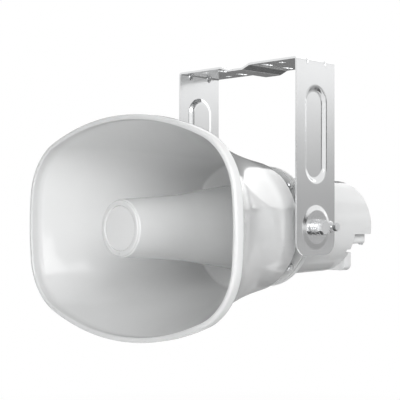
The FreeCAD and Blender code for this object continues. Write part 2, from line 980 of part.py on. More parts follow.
def mouth_outline(y, half_width, half_height, top_radius, side_radius, corner_radius):
    """Eight tangent arcs: flat top and sides with round corners."""
    top_centre = (0, half_height - top_radius)
    side_centre = (half_width - side_radius, 0)
    corner = meet(top_centre, top_radius - corner_radius, side_centre, side_radius - corner_radius)
    top_end = away(top_centre, corner, top_radius)
    side_end = away(side_centre, corner, side_radius)
    slant = (top_end[0] + side_end[0]) / 2, (top_end[1] + side_end[1]) / 2
    bulge = away(corner, slant, corner_radius)
    spots = [(0, half_height), top_end, bulge, side_end, (half_width, 0)]
    return closed_arcs(y, spots)


def closed_arcs(y, spots):
    """The wire of eight arcs from a quarter's (top, top end, corner middle, side end, side)."""
    top, top_end, bulge, side_end, side = spots

    def at(spot, x_sign, z_sign):
        return FreeCAD.Vector(spot[0] * x_sign, y, spot[1] * z_sign)

    arcs = [
        Part.Arc(at(top_end, -1, 1), at(top, 1, 1), at(top_end, 1, 1)),
        Part.Arc(at(top_end, 1, 1), at(bulge, 1, 1), at(side_end, 1, 1)),
        Part.Arc(at(side_end, 1, 1), at(side, 1, 1), at(side_end, 1, -1)),
        Part.Arc(at(side_end, 1, -1), at(bulge, 1, -1), at(top_end, 1, -1)),
        Part.Arc(at(top_end, 1, -1), at(top, 1, -1), at(top_end, -1, -1)),
        Part.Arc(at(top_end, -1, -1), at(bulge, -1, -1), at(side_end, -1, -1)),
        Part.Arc(at(side_end, -1, -1), at(side, -1, 1), at(side_end, -1, 1)),
        Part.Arc(at(side_end, -1, 1), at(bulge, -1, 1), at(top_end, -1, 1)),
    ]
    return Part.Wire([arc.toShape() for arc in arcs])


# The circle's arcs split at this angle; the flare has this many sections; the outline's arcs grow
# from near the circle by this power of the way, and stay this much rounder or tighter than it
CIRCLE_SPLIT = 61.4
FLARE_SECTIONS = 7
GROWTH = 0.75
ROUNDER = 1.02
TIGHTER = 0.97
CORNER_LIMIT = 0.96


def circle_outline(y, radius, top_angle, side_angle):
    """A circle split like the mouth's outline, angles from +X."""
    middle = (top_angle + side_angle) / 2

    def at(angle):
        return (radius * math.cos(angle), radius * math.sin(angle))

    return closed_arcs(y, [(0, radius), at(top_angle), at(middle), at(side_angle), (radius, 0)])


def flare(end, slope, back):
    """Half-size at a distance in front of the rear edge, from the circle to the mouth."""
    start = s.bell_rear_radius.value
    depth = s.bell_rear.value - s.mouth_front.value - s.lip_depth.value
    bend = (end - start - slope * depth) / depth ** 2
    return start + slope * back + bend * back ** 2


def bell_outline(y, inset):
    """The bell's outline at y, moved inwards by inset."""
    depth = s.bell_rear.value - s.mouth_front.value - s.lip_depth.value
    back = s.bell_rear.value - y
    share = min(max(back / depth, 0), 1)
    step = s.lip_step.value
    half_width = flare(s.mouth_half_width.value - step, s.flare_width_slope.value, back) - inset
    half_height = flare(s.mouth_half_height.value - step, s.flare_height_slope.value, back) - inset
    circle = s.bell_rear_radius.value - inset
    if share == 0:
        return circle_outline(y, circle, math.radians(CIRCLE_SPLIT), math.radians(90 - CIRCLE_SPLIT))
    blend = share ** GROWTH

    def grown(first, last):
        return first + (last.value - inset - first) * blend

    top = max(grown(circle * ROUNDER, s.mouth_top_radius), half_width * ROUNDER)
    side = max(grown(circle * ROUNDER, s.mouth_side_radius), half_height * ROUNDER)
    corner = min(grown(circle * TIGHTER, s.mouth_corner_radius), half_height * CORNER_LIMIT)
    return mouth_outline(y, half_width, half_height, top, side, corner)


def flare_solid(front, rear, inset):
    """The lofted inside or outside of the flare."""
    gaps = FLARE_SECTIONS - 1
    stops = [rear + (front - rear) * i / gaps for i in range(FLARE_SECTIONS)]
    return Part.makeLoft([bell_outline(y, inset) for y in stops], True, False)


def lip_edges(shape, y):
    """Edges of a shape that lie in the plane at y."""
    boxes = [(edge, edge.BoundBox) for edge in shape.Edges]
    return [edge for edge, box in boxes if same(box.YMin, y) and same(box.YMax, y)]


def lip_block():
    """The bead round the mouth, with a rounded front."""
    front = s.mouth_front.value
    wire = mouth_outline(
        front, s.mouth_half_width.value, s.mouth_half_height.value, s.mouth_top_radius.value,
        s.mouth_side_radius.value, s.mouth_corner_radius.value,
    )
    bead = Part.Face(wire).extrude(FreeCAD.Vector(0, s.lip_depth.value, 0))
    return bead.makeFillet(s.lip_rounding.value, lip_edges(bead, s.mouth_front))


def make_bell_shell():
    """Flare and lip, hollow, closed by the floor."""
    front = s.mouth_front.value
    joint = front + s.lip_depth.value
    rear = s.bell_rear.value
    outer = flare_solid(joint, rear, 0).fuse(lip_block())
    floor_front = s.floor_back.value - s.floor_thickness.value
    mouth = Part.Face(bell_outline(joint, s.bell_wall.value))
    opening = mouth.extrude(FreeCAD.Vector(0, front - OVER - joint, 0))
    inner = flare_solid(joint, floor_front, s.bell_wall.value).fuse(opening)
    skirt_room = flare_solid(s.floor_back.value, rear + OVER, s.bell_wall.value)
    return outer.cut(inner).cut(skirt_room).removeSplitter()


def make_bell():
    """The whole horn moulding."""
    floor_front = s.floor_back - s.floor_thickness
    boss_front = s.flange_front - s.flange_boss_height
    floor_hole = s.throat_radius + s.tone_wall + s.tone_fit
    behind_floor = gasket_front - s.floor_back + OVER
    added = [
        made(make_bell_shell()),
        rod("Y", s.neck_radius, s.floor_back - OVER, behind_floor),
        rod("Y", s.ring_radius, s.flange_front, s.flange_thickness),
    ]
    taken = [
        rod("Y", neck_bore, s.floor_back, behind_floor),
        rod("Y", floor_hole, floor_front - OVER, s.floor_thickness + OVER * 2),
    ]
    added += ring_rods(FLANGE_SCREWS, s.flange_boss_radius, boss_front, s.flange_boss_height)
    through = gasket_front - boss_front + OVER * 2
    taken += ring_rods(FLANGE_SCREWS, s.flange_screw_radius, boss_front - OVER, through)
    taken += ring_rods(MOUNT_SCREWS, s.mount_screw_radius, floor_front + s.floor_skin, s.floor_thickness)
    return cut(join(added), taken)


node(make_bell(), "horn_bell")


# Tone arm and reflector

tone_rear = s.floor_back + s.tone_flange_thickness
tone_front = s.mouth_front + s.tone_front_back
fin_front = s.mouth_front + s.fin_front_back
fin_rear = fin_front + s.fin_length
reflector_knee = s.mouth_front + s.reflector_knee_back
reflector_bend = s.mouth_front + s.reflector_bend_back


def reflector_bore(y):
    """Inside radius of the reflector's front cone at y."""
    front = s.mouth_front + s.reflector_wall
    share = (y - front) / (reflector_knee - front)
    spread = s.reflector_knee_radius - s.reflector_front_radius
    return s.reflector_front_radius - s.reflector_wall + spread * share


def make_tone_arm():
    """The throat tube with its base flange and the three fins that carry the reflector."""
    pipe = turned([
        (s.throat_radius, tone_rear), (s.tone_flange_radius, tone_rear),
        (s.tone_flange_radius, s.floor_back), (s.throat_radius + s.tone_wall, s.floor_back),
        (s.tone_front_bore + s.tone_wall, tone_front), (s.tone_front_bore, tone_front),
    ])
    root = s.tone_front_bore + s.fin_root
    envelope = turned([
        (root, fin_rear), (reflector_bore(fin_rear), fin_rear),
        (reflector_bore(fin_front), fin_front), (root, fin_front),
    ])
    length = fin_rear - fin_front + OVER * 2
    blades = radial_blades(fin_front - OVER, length, s.reflector_rear_radius, s.fin_thickness)
    hole_length = s.tone_flange_thickness + OVER * 2
    holes = ring_rods(MOUNT_SCREWS, s.mount_screw_radius, s.floor_back - OVER, hole_length)
    return cut(join([pipe, shared(blades, envelope)]), holes)


def make_reflector():
    """The closed-front reflector, a thin turned shell."""
    wall = s.reflector_wall
    front = s.mouth_front
    face = s.reflector_front_radius - s.reflector_chamfer
    return turned([
        (0, front), (face, front), (s.reflector_front_radius, front + s.reflector_chamfer),
        (s.reflector_knee_radius, reflector_knee), (s.reflector_bend_radius, reflector_bend),
        (s.reflector_rear_radius, s.reflector_rear), (s.reflector_rear_radius - wall, s.reflector_rear),
        (s.reflector_bend_radius - wall, reflector_bend),
        (s.reflector_knee_radius - wall, reflector_knee),
        (s.reflector_front_radius - wall, front + wall), (0, front + wall),
    ])


def make_face_ring():
    """The trim ring on the reflector's face, with its drain hole."""
    front = s.mouth_front - s.face_ring_thickness
    ring = tube("Y", s.face_ring_radius, s.face_ring_bore, front, s.face_ring_thickness)
    middle = (s.face_ring_radius + s.face_ring_bore) / 2
    return cut(ring, [rod("Y", s.drain_radius, front - OVER, s.face_ring_thickness, 0, -middle)])


node(make_tone_arm(), "tone_arm")
node(make_reflector(), "reflector")
node(make_face_ring(), "reflector_ring")
disc_front = s.mouth_front - s.face_disc_thickness
node(rod("Y", s.face_ring_bore - s.face_disc_gap, disc_front, s.face_disc_thickness), "reflector_disc")


# Flange gasket and screws

def make_flange_gasket():
    """The flat seal between the bell's flange and the pivot ring."""
    seal = tube("Y", s.ring_radius - s.gasket_inset, neck_bore, gasket_front, s.gasket_thickness)
    length = s.gasket_thickness + OVER * 2
    return cut(seal, ring_rods(FLANGE_SCREWS, s.flange_screw_radius, gasket_front - OVER, length))


def make_flange_screws():
    """Four screws from the bell's bosses into the pivot ring."""
    boss_front = s.flange_front - s.flange_boss_height
    height = s.flange_screw_head_height
    return ring_screws(
        ring_spots(FLANGE_SCREWS), s.flange_screw_radius, s.flange_screw_head_radius,
        boss_front - height, height, ring_rear - boss_front, -1,
    )


node(make_flange_gasket(), "flange_gasket")
node(make_flange_screws(), "flange_screws")


# Rear housing with the stepped cut-out

housing_front = ring_rear
plate_rear = s.chassis_front + s.chassis_thickness
step_room = s.housing_front_radius + s.step_clearance
window_low = s.box_bottom + s.box_window_lift
window_high = s.groove_bottom - s.box_wall
box_screw_spots = [(s.box_screw_x, s.box_screw_z), (-s.box_screw_x, s.box_screw_z)]
taper_length = s.housing_rear - s.housing_wall - housing_front + OVER
taper_share = (plate_rear - housing_front + OVER) / taper_length
housing_taper = (s.housing_rear_radius - s.housing_front_radius) * taper_share
post_circle = s.housing_front_radius - s.housing_wall + housing_taper - s.chassis_post_radius + s.chassis_post_sink
CHASSIS_POSTS = (3, 90, post_circle)
CHASSIS_SCREWS = (3, 90, post_circle - s.chassis_screw_inset)


def housing_outside():
    """The can's outer form: flange, tapered wall and softened rear edge."""
    rear = s.housing_rear
    edge = s.housing_edge
    bulge = s.housing_edge_bulge
    flange_rear = housing_front + s.housing_flange_thickness
    return turned([
        (0, housing_front), (s.housing_flange_radius, housing_front),
        (s.housing_flange_radius, flange_rear), (s.housing_front_radius, flange_rear),
        (s.housing_rear_radius, rear - edge), (s.housing_rear_radius - bulge, rear - bulge),
        (s.housing_rear_radius - edge, rear), (0, rear),
    ])


def housing_hollow():
    """The can's inside, kept clear of the step and the groove."""
    wall = s.housing_wall
    rear = s.housing_rear
    inside = turned([
        (0, housing_front - OVER), (s.housing_front_radius - wall, housing_front - OVER),
        (s.housing_rear_radius - wall, rear - wall), (0, rear - wall),
    ])
    kept = block(
        (-step_room, s.step_front - s.step_wall - s.groove_depth, -step_room),
        (step_room, rear + OVER, s.step_top + s.step_wall),
    )
    return cut(inside, [kept])


def housing_openings():
    """The step, the groove, the box's window and the shaft down to the cover."""
    window_half = s.box_window_half_width
    window_front = s.step_front - s.groove_depth - s.step_wall - OVER
    shaft_half = s.block_width / 2 + s.shaft_clearance
    return [
        block((-step_room, s.step_front, -step_room), (step_room, s.housing_rear + OVER, s.step_top)),
        block(
            (-step_room, s.step_front - s.groove_depth, s.groove_bottom),
            (step_room, s.step_front + OVER, s.groove_top),
        ),
        block((-window_half, window_front, window_low), (window_half, s.step_front + OVER, window_high)),
        block(
            (-shaft_half, s.step_front + s.step_wall, s.step_top - OVER),
            (shaft_half, s.housing_rear - s.shaft_rear_gap, s.step_top + s.step_wall + OVER),
        ),
    ]


def housing_screw_holes():
    """Holes of the flange, cover, box and chassis screws."""
    radius = s.flange_screw_radius
    length = s.housing_flange_thickness + OVER * 2
    holes = ring_rods(HOUSING_SCREWS, radius, housing_front - OVER, length)
    bite = s.cover_screw_bite + OVER
    holes += [rod("Z", radius, s.step_top - OVER, bite, x, y) for x, y in cover_screw_spots()]
    start = s.step_front - s.step_wall
    holes += [rod("Y", radius, start, s.step_wall + OVER, x, z) for x, z in box_screw_spots]
    return holes + ring_rods(CHASSIS_SCREWS, s.chassis_screw_radius, plate_rear - OVER, s.chassis_pilot)


def cover_screw_spots():
    """Where the cover's four screws are."""
    inset = s.cover_post / 2
    front = s.step_front + s.cover_front_gap + inset
    rear = s.cover_rear - inset
    x = s.cover_half_width - inset
    return [(x, front), (-x, front), (x, rear), (-x, rear)]


def make_housing():
    """The can with its step, openings, posts and screw holes."""
    can = cut(housing_outside(), [housing_hollow()] + housing_openings())
    posts = ring_rods(CHASSIS_POSTS, s.chassis_post_radius, plate_rear, s.chassis_post_length)
    return cut(join([can] + posts), housing_screw_holes())


def make_housing_screws():
    """Four screws from behind through the housing's flange into the pivot ring."""
    height = s.flange_screw_head_height
    return ring_screws(
        ring_spots(HOUSING_SCREWS), s.flange_screw_radius, s.flange_screw_head_radius,
        housing_front + s.housing_flange_thickness + height, height,
        s.housing_flange_thickness + s.pivot_ring_thickness, 1,
    )


node(make_housing(), "rear_housing")
node(make_housing_screws(), "housing_screws")


# Service cover under the step

def make_service_cover():
    """The lid under the terminal room: a shallow tray with corner posts."""
    low = s.step_top - s.cover_height
    front = s.step_front + s.cover_front_gap
    half = s.cover_half_width
    tray = block((-half, front, low), (half, s.cover_rear, s.step_top))
    tray = rounded(tray, s.cover_rounding, cover_edge)
    wall = s.cover_wall
    post = s.cover_post
    over = s.step_top + OVER
    rooms = [
        block((-half + wall, front + post, low + wall), (half - wall, s.cover_rear - post, over)),
        block((-half + post, front + wall, low + wall), (half - post, s.cover_rear - wall, over)),
    ]
    for x, y in cover_screw_spots():
        rooms.append(rod("Z", s.flange_screw_radius, low - OVER, s.cover_height + OVER * 2, x, y))
    return cut(tray, rooms)


def cover_edge(edge):
    """The tray's lower long edges and its upright rear corners."""
    spot = edge_middle(edge)
    low = same(spot.z, s.step_top - s.cover_height)
    at_side = same(abs(spot.x), s.cover_half_width)
    at_rear = same(spot.y, s.cover_rear)
    return (low and at_side) or (at_side and at_rear) or (low and at_rear)


def make_cover_screws():
    """Four screws that hold the service cover from below."""
    start = s.step_top - s.cover_height - s.cover_head_height
    length = s.cover_head_height + s.cover_height + s.cover_screw_bite
    screws = []
    for x, y in cover_screw_spots():
        head = rod("Z", s.cover_head_radius, start, s.cover_head_height, x, y)
        screws.append(join([head, rod("Z", s.flange_screw_radius, start, length, x, y)]))
    return group(screws)


node(make_service_cover(), "service_cover")
node(make_cover_screws(), "cover_screws")


# Junction box with its seal and screws

def box_edge(edge):
    """The junction box's two lower long edges."""
    spot = edge_middle(edge)
    return same(spot.z, s.box_bottom) and same(abs(spot.x), s.box_half_width)


def box_rear_edge(edge):
    """The outline of the junction box's rear face."""
    return same(edge.BoundBox.YMin, s.box_rear) and same(edge.BoundBox.YMax, s.box_rear)


seal_half = s.box_window_half_width + s.box_seal_band
seal_low = window_low - s.box_seal_band
seal_high = window_high + s.box_seal_band / 2
seal_rear = s.step_front + s.box_seal_thickness


def box_hollow():
    """The box's inside, within the can's round and clear of the screw posts."""
    half = s.box_half_width - s.box_wall
    front = s.step_front - OVER
    room = block(
        (-half, front, s.box_bottom + s.box_wall),
        (half, s.box_rear - s.box_wall, s.groove_bottom - s.box_wall),
    )
    round_room = rod("Y", s.box_round_radius, front, s.box_rear)
    posts = [rod("Y", s.box_post_radius, front - OVER, s.box_rear, x, z) for x, z in box_screw_spots]
    return cut(shared(room, round_room), posts)


def make_junction_box():
    """The hollow box behind the step wall that holds the cable gland."""
    half = s.box_half_width
    front = s.step_front - OVER
    body = block((-half, s.step_front, s.box_bottom), (half, s.box_rear, s.groove_bottom))
    body = rounded(body, s.box_rounding, box_edge)
    body = rounded(body, s.box_rear_rounding, box_rear_edge)
    seal_room = block((-seal_half, front, seal_low), (seal_half, seal_rear, seal_high))
    bore_start = s.box_rear - s.box_wall - OVER
    bore = rod("Y", s.gland_thread_radius, bore_start, s.box_wall + OVER * 2, 0, s.gland_z)
    holes = [rod("Y", s.flange_screw_radius, front, s.box_rear, x, z) for x, z in box_screw_spots]
    return cut(body, [box_hollow(), seal_room, bore] + holes)


def make_junction_seal():
    """The frame-shaped seal round the window."""
    frame = block((-seal_half, s.step_front, seal_low), (seal_half, seal_rear, seal_high))
    half = s.box_window_half_width
    window = block((-half, s.step_front - OVER, window_low), (half, seal_rear + OVER, window_high))
    return cut(frame, [window])


def make_junction_screws():
    """Two screws from behind that hold the junction box."""
    height = s.flange_screw_head_height
    return ring_screws(
        box_screw_spots, s.flange_screw_radius, s.flange_screw_head_radius, s.box_rear + height, height,
        s.box_rear - s.step_front + s.step_wall, 1,
    )


node(make_junction_box(), "junction_box")
node(make_junction_seal(), "junction_seal")
node(make_junction_screws(), "junction_screws")


# Cable gland

gland_rear = s.box_rear + s.gland_body_length
gland_inner = s.box_rear - s.box_wall


def gland_rod(radius, start, length):
    """A round bar on the gland's axis."""
    return rod("Y", radius, start, length, 0, s.gland_z)


def make_gland_body():
    """The gland's hex body with a threaded stem each way."""
    inner_end = gland_inner - s.gland_inner_length
    body = hexagon("Y", s.gland_body_flats, s.box_rear, s.gland_body_length, 0, s.gland_z)
    stem = gland_rod(s.gland_thread_radius, inner_end, gland_rear + s.gland_stem - inner_end)
    bore = gland_rod(s.gland_bore_radius, inner_end - OVER, gland_rear - inner_end + OVER * 2)
    seal_room = gland_rod(s.gland_seal_radius, gland_rear, s.gland_stem + OVER)
    return cut(join([body, stem]), [bore, seal_room])


def make_gland_nut():
    """The domed nut that squeezes the seal onto the cable."""
    end = gland_rear + s.gland_nut_length
    nut = hexagon("Y", s.gland_nut_flats, gland_rear, s.gland_nut_length, 0, s.gland_z)
    dome = taper("Y", s.gland_nut_flats / 2, s.gland_dome_radius, end, s.gland_nut_dome, 0, s.gland_z)
    thread = gland_rod(s.gland_thread_radius, gland_rear - OVER, s.gland_stem + s.gland_nut_gap + OVER)
    hole = gland_rod(s.gland_bore_radius + s.gland_nut_gap, gland_rear, s.gland_nut_length * 2)
    return cut(join([nut, dome]), [thread, hole])


def make_gland_locknut():
    """The flat nut inside the box."""
    start = gland_inner - s.gland_locknut_height
    nut = hexagon("Y", s.gland_locknut_flats, start, s.gland_locknut_height, 0, s.gland_z)
    thread = gland_rod(s.gland_thread_radius, start - OVER, s.gland_locknut_height + OVER * 2)
    return cut(nut, [thread])


node(make_gland_body(), "gland_body")
node(
    tube("Y", s.gland_seal_radius, s.gland_bore_radius, gland_rear, s.gland_stem, 0, s.gland_z),
    "gland_seal",
)
node(make_gland_nut(), "gland_nut")
node(make_gland_locknut(), "gland_locknut")


# Compression driver

cap_front = tone_rear + s.throat_gasket
cap_rear = cap_front + s.cap_thickness
top_front = cap_rear + s.clamp_ring_thickness
magnet_front = top_front + s.top_plate_thickness
yoke_front = magnet_front + s.magnet_length
yoke_rear = yoke_front + s.yoke_thickness
cavity_front = cap_rear - s.cap_cavity_depth
film_front = cap_rear + s.diaphragm_gap
film_rear = film_front + s.diaphragm_film
coil_end = film_rear + s.former_length
gap_bore = s.coil_radius + s.coil_winding + s.air_gap


def make_throat_gasket():
    """The flat seal between the tone arm and the driver."""
    seal = tube("Y", s.cap_radius, s.throat_gasket_bore, tone_rear, s.throat_gasket)
    length = s.throat_gasket + OVER * 2
    return cut(seal, ring_rods(MOUNT_SCREWS, s.mount_screw_radius, tone_rear - OVER, length))


def make_driver_cap():
    """The front plate of the driver, with the throat and the room for the dome."""
    plate = turned([
        (s.throat_radius, cap_front), (s.cap_radius, cap_front), (s.cap_radius, cap_rear),
        (s.cap_cavity_radius, cap_rear), (s.cap_cavity_front_radius, cavity_front),
        (s.throat_radius, cavity_front),
    ])
    start = cap_front - OVER
    through = s.cap_thickness + OVER * 2
    gap = s.driver_head_gap
    holes = ring_rods(MOUNT_SCREWS, s.mount_screw_radius, start, through)
    holes += ring_rods(DRIVER_SCREWS, s.driver_screw_radius, start, through)
    sunk = s.driver_head_height + gap + OVER
    return cut(plate, holes + ring_rods(DRIVER_SCREWS, s.driver_head_radius + gap, start, sunk))


def make_phase_plug():
    """The bullet in the throat with its three webs."""
    rear = cavity_front + s.plug_behind
    front = rear - s.plug_length
    bullet = turned([(0, front), (s.plug_nose_radius, front), (s.plug_radius, rear), (0, rear)])
    length = cavity_front - cap_front
    webs = radial_blades(cap_front, length, s.throat_radius + OVER, s.plug_web)
    return join([bullet, shared(webs, rod("Y", s.throat_radius, cap_front, length))])


def make_diaphragm():
    """Dome, surround and former in one thin film."""
    coil = s.coil_radius
    inner = coil - s.diaphragm_film
    end = film_rear + s.former_length
    return turned([
        (0, film_front - s.dome_height), (s.dome_crown_radius, film_front - s.dome_crown_height),
        (s.dome_shoulder_radius, film_front - s.dome_shoulder_height), (coil, film_front),
        (s.diaphragm_radius, film_front), (s.diaphragm_radius, film_rear), (coil, film_rear),
        (coil, end), (inner, end), (inner, film_rear),
        (s.dome_shoulder_radius, film_rear - s.dome_shoulder_height),
        (s.dome_crown_radius, film_rear - s.dome_crown_height), (0, film_rear - s.dome_height),
    ])


def make_diaphragm_ring():
    """The ring that clamps the diaphragm's rim."""
    ring = tube("Y", s.top_plate_radius, s.clamp_ring_bore, cap_rear, s.clamp_ring_thickness)
    length = s.clamp_ring_thickness + OVER * 2
    return cut(ring, ring_rods(DRIVER_SCREWS, s.driver_screw_radius, cap_rear - OVER, length))


def make_voice_coil():
    """The winding on the diaphragm's former."""
    outer = s.coil_radius + s.coil_winding
    return tube("Y", outer, s.coil_radius, coil_end - s.coil_length, s.coil_length)


def make_top_plate():
    """The steel ring round the air gap."""
    plate = tube("Y", s.top_plate_radius, gap_bore, top_front, s.top_plate_thickness)
    length = s.driver_screw_bite + OVER
    return cut(plate, ring_rods(DRIVER_SCREWS, s.driver_screw_radius, top_front - OVER, length))


def make_yoke():
    """Back plate and pole in one turning."""
    pole = s.coil_radius - s.diaphragm_film - s.pole_gap
    return turned([
        (0, top_front), (pole, top_front), (pole, yoke_front), (s.yoke_radius, yoke_front),
        (s.yoke_radius, yoke_rear), (0, yoke_rear),
    ])


def make_driver_screws():
    """Four screws from the cap into the top plate."""
    head_end = cap_front + s.driver_head_gap
    length = top_front + s.driver_screw_bite - head_end - s.driver_head_height
    return ring_screws(
        ring_spots(DRIVER_SCREWS), s.driver_screw_radius, s.driver_head_radius, head_end,
        s.driver_head_height, length, -1,
    )


def make_mount_screws():
    """Three screws from behind the cap into the bell's floor."""
    tip = s.floor_back - s.floor_thickness + s.floor_skin
    return ring_screws(
        ring_spots(MOUNT_SCREWS), s.mount_screw_radius, s.mount_head_radius,
        cap_rear + s.mount_head_height, s.mount_head_height, cap_rear - tip, 1,
    )


node(make_throat_gasket(), "throat_gasket")
node(make_driver_cap(), "driver_cap")
node(make_phase_plug(), "phase_plug")
node(make_diaphragm_ring(), "diaphragm_ring")
node(make_diaphragm(), "diaphragm")
node(make_voice_coil(), "voice_coil")
node(make_top_plate(), "top_plate")
node(tube("Y", s.magnet_radius, s.magnet_bore, magnet_front, s.magnet_length), "magnet")
node(make_yoke(), "yoke")
node(make_driver_screws(), "driver_screws")
node(make_mount_screws(), "driver_mount_screws")


# Driver terminals

strip_rear = yoke_rear + s.terminal_depth
strip_half = s.terminal_x + s.tab_width
tab_end = strip_rear + s.tab_length


def make_tab(x):
    """One solder tab."""
    half = s.tab_width / 2
    flat = s.tab_thickness / 2
    return block((x - half, strip_rear, s.terminal_z - flat), (x + half, tab_end, s.terminal_z + flat))


def make_terminal_strip():
    """The insulating strip on the yoke."""
    low = s.terminal_z - s.terminal_height / 2
    return block((-strip_half, yoke_rear, low), (strip_half, strip_rear, low + s.terminal_height))


node(make_terminal_strip(), "driver_terminal_strip")
node(group([make_tab(s.terminal_x), make_tab(-s.terminal_x)]), "driver_tabs")


# Chassis plate and line transformer

core_end = plate_rear + s.core_length
core_low = s.core_z - s.core_stack / 2
core_high = s.core_z + s.core_stack / 2
window_start = plate_rear + (s.core_length - s.core_window_length) / 2
window_stop = window_start + s.core_window_length
strap_side = s.core_width / 2
strap_screw_x = strap_side + s.strap_sheet + s.strap_tab / 2
strap_screw_spots = [(strap_screw_x, s.core_z), (-strap_screw_x, s.core_z)]


def make_chassis_plate():
    """The steel disc that carries the transformer."""
    disc = rod("Y", post_circle + s.chassis_rim, s.chassis_front, s.chassis_thickness)
    start = s.chassis_front - OVER
    length = s.chassis_thickness + OVER * 2
    holes = ring_rods(CHASSIS_SCREWS, s.chassis_screw_radius, start, length)
    for x in (s.terminal_x, -s.terminal_x):
        holes.append(rod("Y", s.lead_hole_radius, start, length, x, s.terminal_z))
    for x, z in strap_screw_spots:
        holes.append(rod("Y", s.chassis_screw_radius, start, length, x, z))
    return cut(disc, holes)


def make_chassis_screws():
    """Three screws into the housing's posts."""
    height = s.chassis_head_height
    return ring_screws(
        ring_spots(CHASSIS_SCREWS), s.chassis_screw_radius, s.chassis_head_radius,
        s.chassis_front - height, height, s.chassis_thickness + s.chassis_screw_bite, -1,
    )


def make_core():
    """The stack of laminations with its two windows."""
    half = s.core_width / 2
    stack = block((-half, plate_rear, core_low), (half, core_end, core_high))
    inner = s.core_leg / 2
    outer = inner + s.core_window_width
    low = core_low - OVER
    high = core_high + OVER
    windows = [
        block((inner, window_start, low), (outer, window_stop, high)),
        block((-outer, window_start, low), (-inner, window_stop, high)),
    ]
    return cut(stack, windows)


def make_winding():
    """The wound bobbin round the core's middle leg."""
    gap = s.winding_gap
    half = s.core_leg / 2 + s.core_window_width - gap
    reach = s.winding_overhang
    coil = block(
        (-half, window_start + gap, core_low - reach), (half, window_stop - gap, core_high + reach),
    )
    fit = s.winding_fit
    leg = s.core_leg / 2 + fit
    return cut(coil, [block((-leg, plate_rear, core_low - fit), (leg, core_end, core_high + fit))])


def make_strap():
    """The bent strap that clamps the core to the plate."""
    sheet = s.strap_sheet
    side = strap_side
    out = side + sheet
    foot_out = out + s.strap_tab
    foot_rear = plate_rear + sheet
    rear = core_end + sheet
    parts = [
        block((-out, core_end, core_low), (out, rear, core_high)),
        block((side, plate_rear, core_low), (out, rear, core_high)),
        block((-out, plate_rear, core_low), (-side, rear, core_high)),
        block((side, plate_rear, core_low), (foot_out, foot_rear, core_high)),
        block((-foot_out, plate_rear, core_low), (-side, foot_rear, core_high)),
    ]
    start = plate_rear - OVER
    holes = [
        rod("Y", s.chassis_screw_radius, start, sheet + OVER * 2, x, z) for x, z in strap_screw_spots
    ]
    return cut(join(parts), holes)


def make_strap_screws():
    """Two screws from behind through the strap's tabs into the plate."""
    height = s.chassis_head_height
    return ring_screws(
        strap_screw_spots, s.chassis_screw_radius, s.chassis_head_radius,
        plate_rear + s.strap_sheet + height, height, s.strap_sheet + s.chassis_thickness, 1,
    )


node(make_chassis_plate(), "chassis_plate")
node(make_chassis_screws(), "chassis_screws")
node(make_core(), "transformer_core")
node(make_winding(), "transformer_winding")
node(make_strap(), "transformer_strap")
node(make_strap_screws(), "transformer_screws")


# Terminal block on the housing's end wall

block_rear = s.housing_rear - s.housing_wall
block_front = block_rear - s.block_depth
block_low = s.step_top + s.step_wall + s.block_lift
block_screw_y = (block_front + block_rear) / 2
wire_z = block_low + s.block_height / 2


def way_xs():
    """Where the terminal block's ways are."""
    pitch = s.block_width / BLOCK_WAYS
    return [pitch * (i - (BLOCK_WAYS - 1) / 2) for i in range(BLOCK_WAYS)]


def make_terminal_block():
    """The insulating block with a wire entry and a screw well for each way."""
    half = s.block_width / 2
    body = block((-half, block_front, block_low), (half, block_rear, block_low + s.block_height))
    depth = s.block_screw_length + OVER
    wells = []
    for x in way_xs():
        wells.append(rod("Z", s.block_screw_radius, block_low - OVER, depth, x, block_screw_y))
        wells.append(rod("Y", s.wire_hole_radius, block_front - OVER, s.wire_hole_depth + OVER, x, wire_z))
    return cut(body, wells)


def make_terminal_screws():
    """The clamp screws of the ways, turned from below through the shaft."""
    return group([
        rod("Z", s.block_screw_radius, block_low, s.block_screw_length, x, block_screw_y) for x in way_xs()
    ])


node(make_terminal_block(), "terminal_block")
node(make_terminal_screws(), "terminal_screws")


# Leads inside the can

# How much of the shorter run a bend may use
BEND_SHARE = 0.45


def lead(points, radius):
    """A round wire along straight runs joined by tangent arcs."""
    spots = [FreeCAD.Vector(*[size_of(c).value for c in point]) for point in points]
    edges = []
    start = spots[0]
    for before, corner, after in zip(spots, spots[1:], spots[2:]):
        back = (before - corner).normalize()
        ahead = (after - corner).normalize()
        reach = BEND_SHARE * min(before.distanceToPoint(corner), after.distanceToPoint(corner))
        half_turn = (math.pi - back.getAngle(ahead)) / 2
        bend = reach / math.tan(half_turn)
        inward = (back + ahead).normalize()
        middle = corner + inward * (math.hypot(bend, reach) - bend)
        edges.append(Part.LineSegment(start, corner + back * reach).toShape())
        edges.append(Part.Arc(corner + back * reach, middle, corner + ahead * reach).toShape())
        start = corner + ahead * reach
    edges.append(Part.LineSegment(start, spots[-1]).toShape())
    path = Part.Wire(edges)
    direction = (spots[1] - spots[0]).normalize()
    section = Part.Wire([Part.makeCircle(radius.value, spots[0], direction)])
    return path.makePipeShell([section], True, False)


def make_driver_leads():
    """Two wires from the driver's tabs to the winding."""
    under = core_low - s.winding_overhang
    turn_y = plate_rear + s.core_length / 2
    wires = []
    for x in (s.terminal_x, -s.terminal_x):
        points = [(x, tab_end, s.terminal_z), (x, turn_y, s.terminal_z), (x, turn_y, under)]
        wires.append(made(lead(points, s.lead_radius)))
    return group(wires)


def make_line_leads():
    """Wires from the terminal block to the winding."""
    stop = window_stop - s.winding_gap
    low = core_low - s.lead_radius * 2
    near = block_front - s.lead_run
    wires = []
    for x in way_xs():
        points = [
            (x, block_front + s.wire_hole_depth, wire_z), (x, near, wire_z),
            (x, near - s.lead_run, low), (x, stop, low),
        ]
        wires.append(made(lead(points, s.lead_radius)))
    return group(wires)


node(make_driver_leads(), "driver_leads")
node(make_line_leads(), "line_leads")


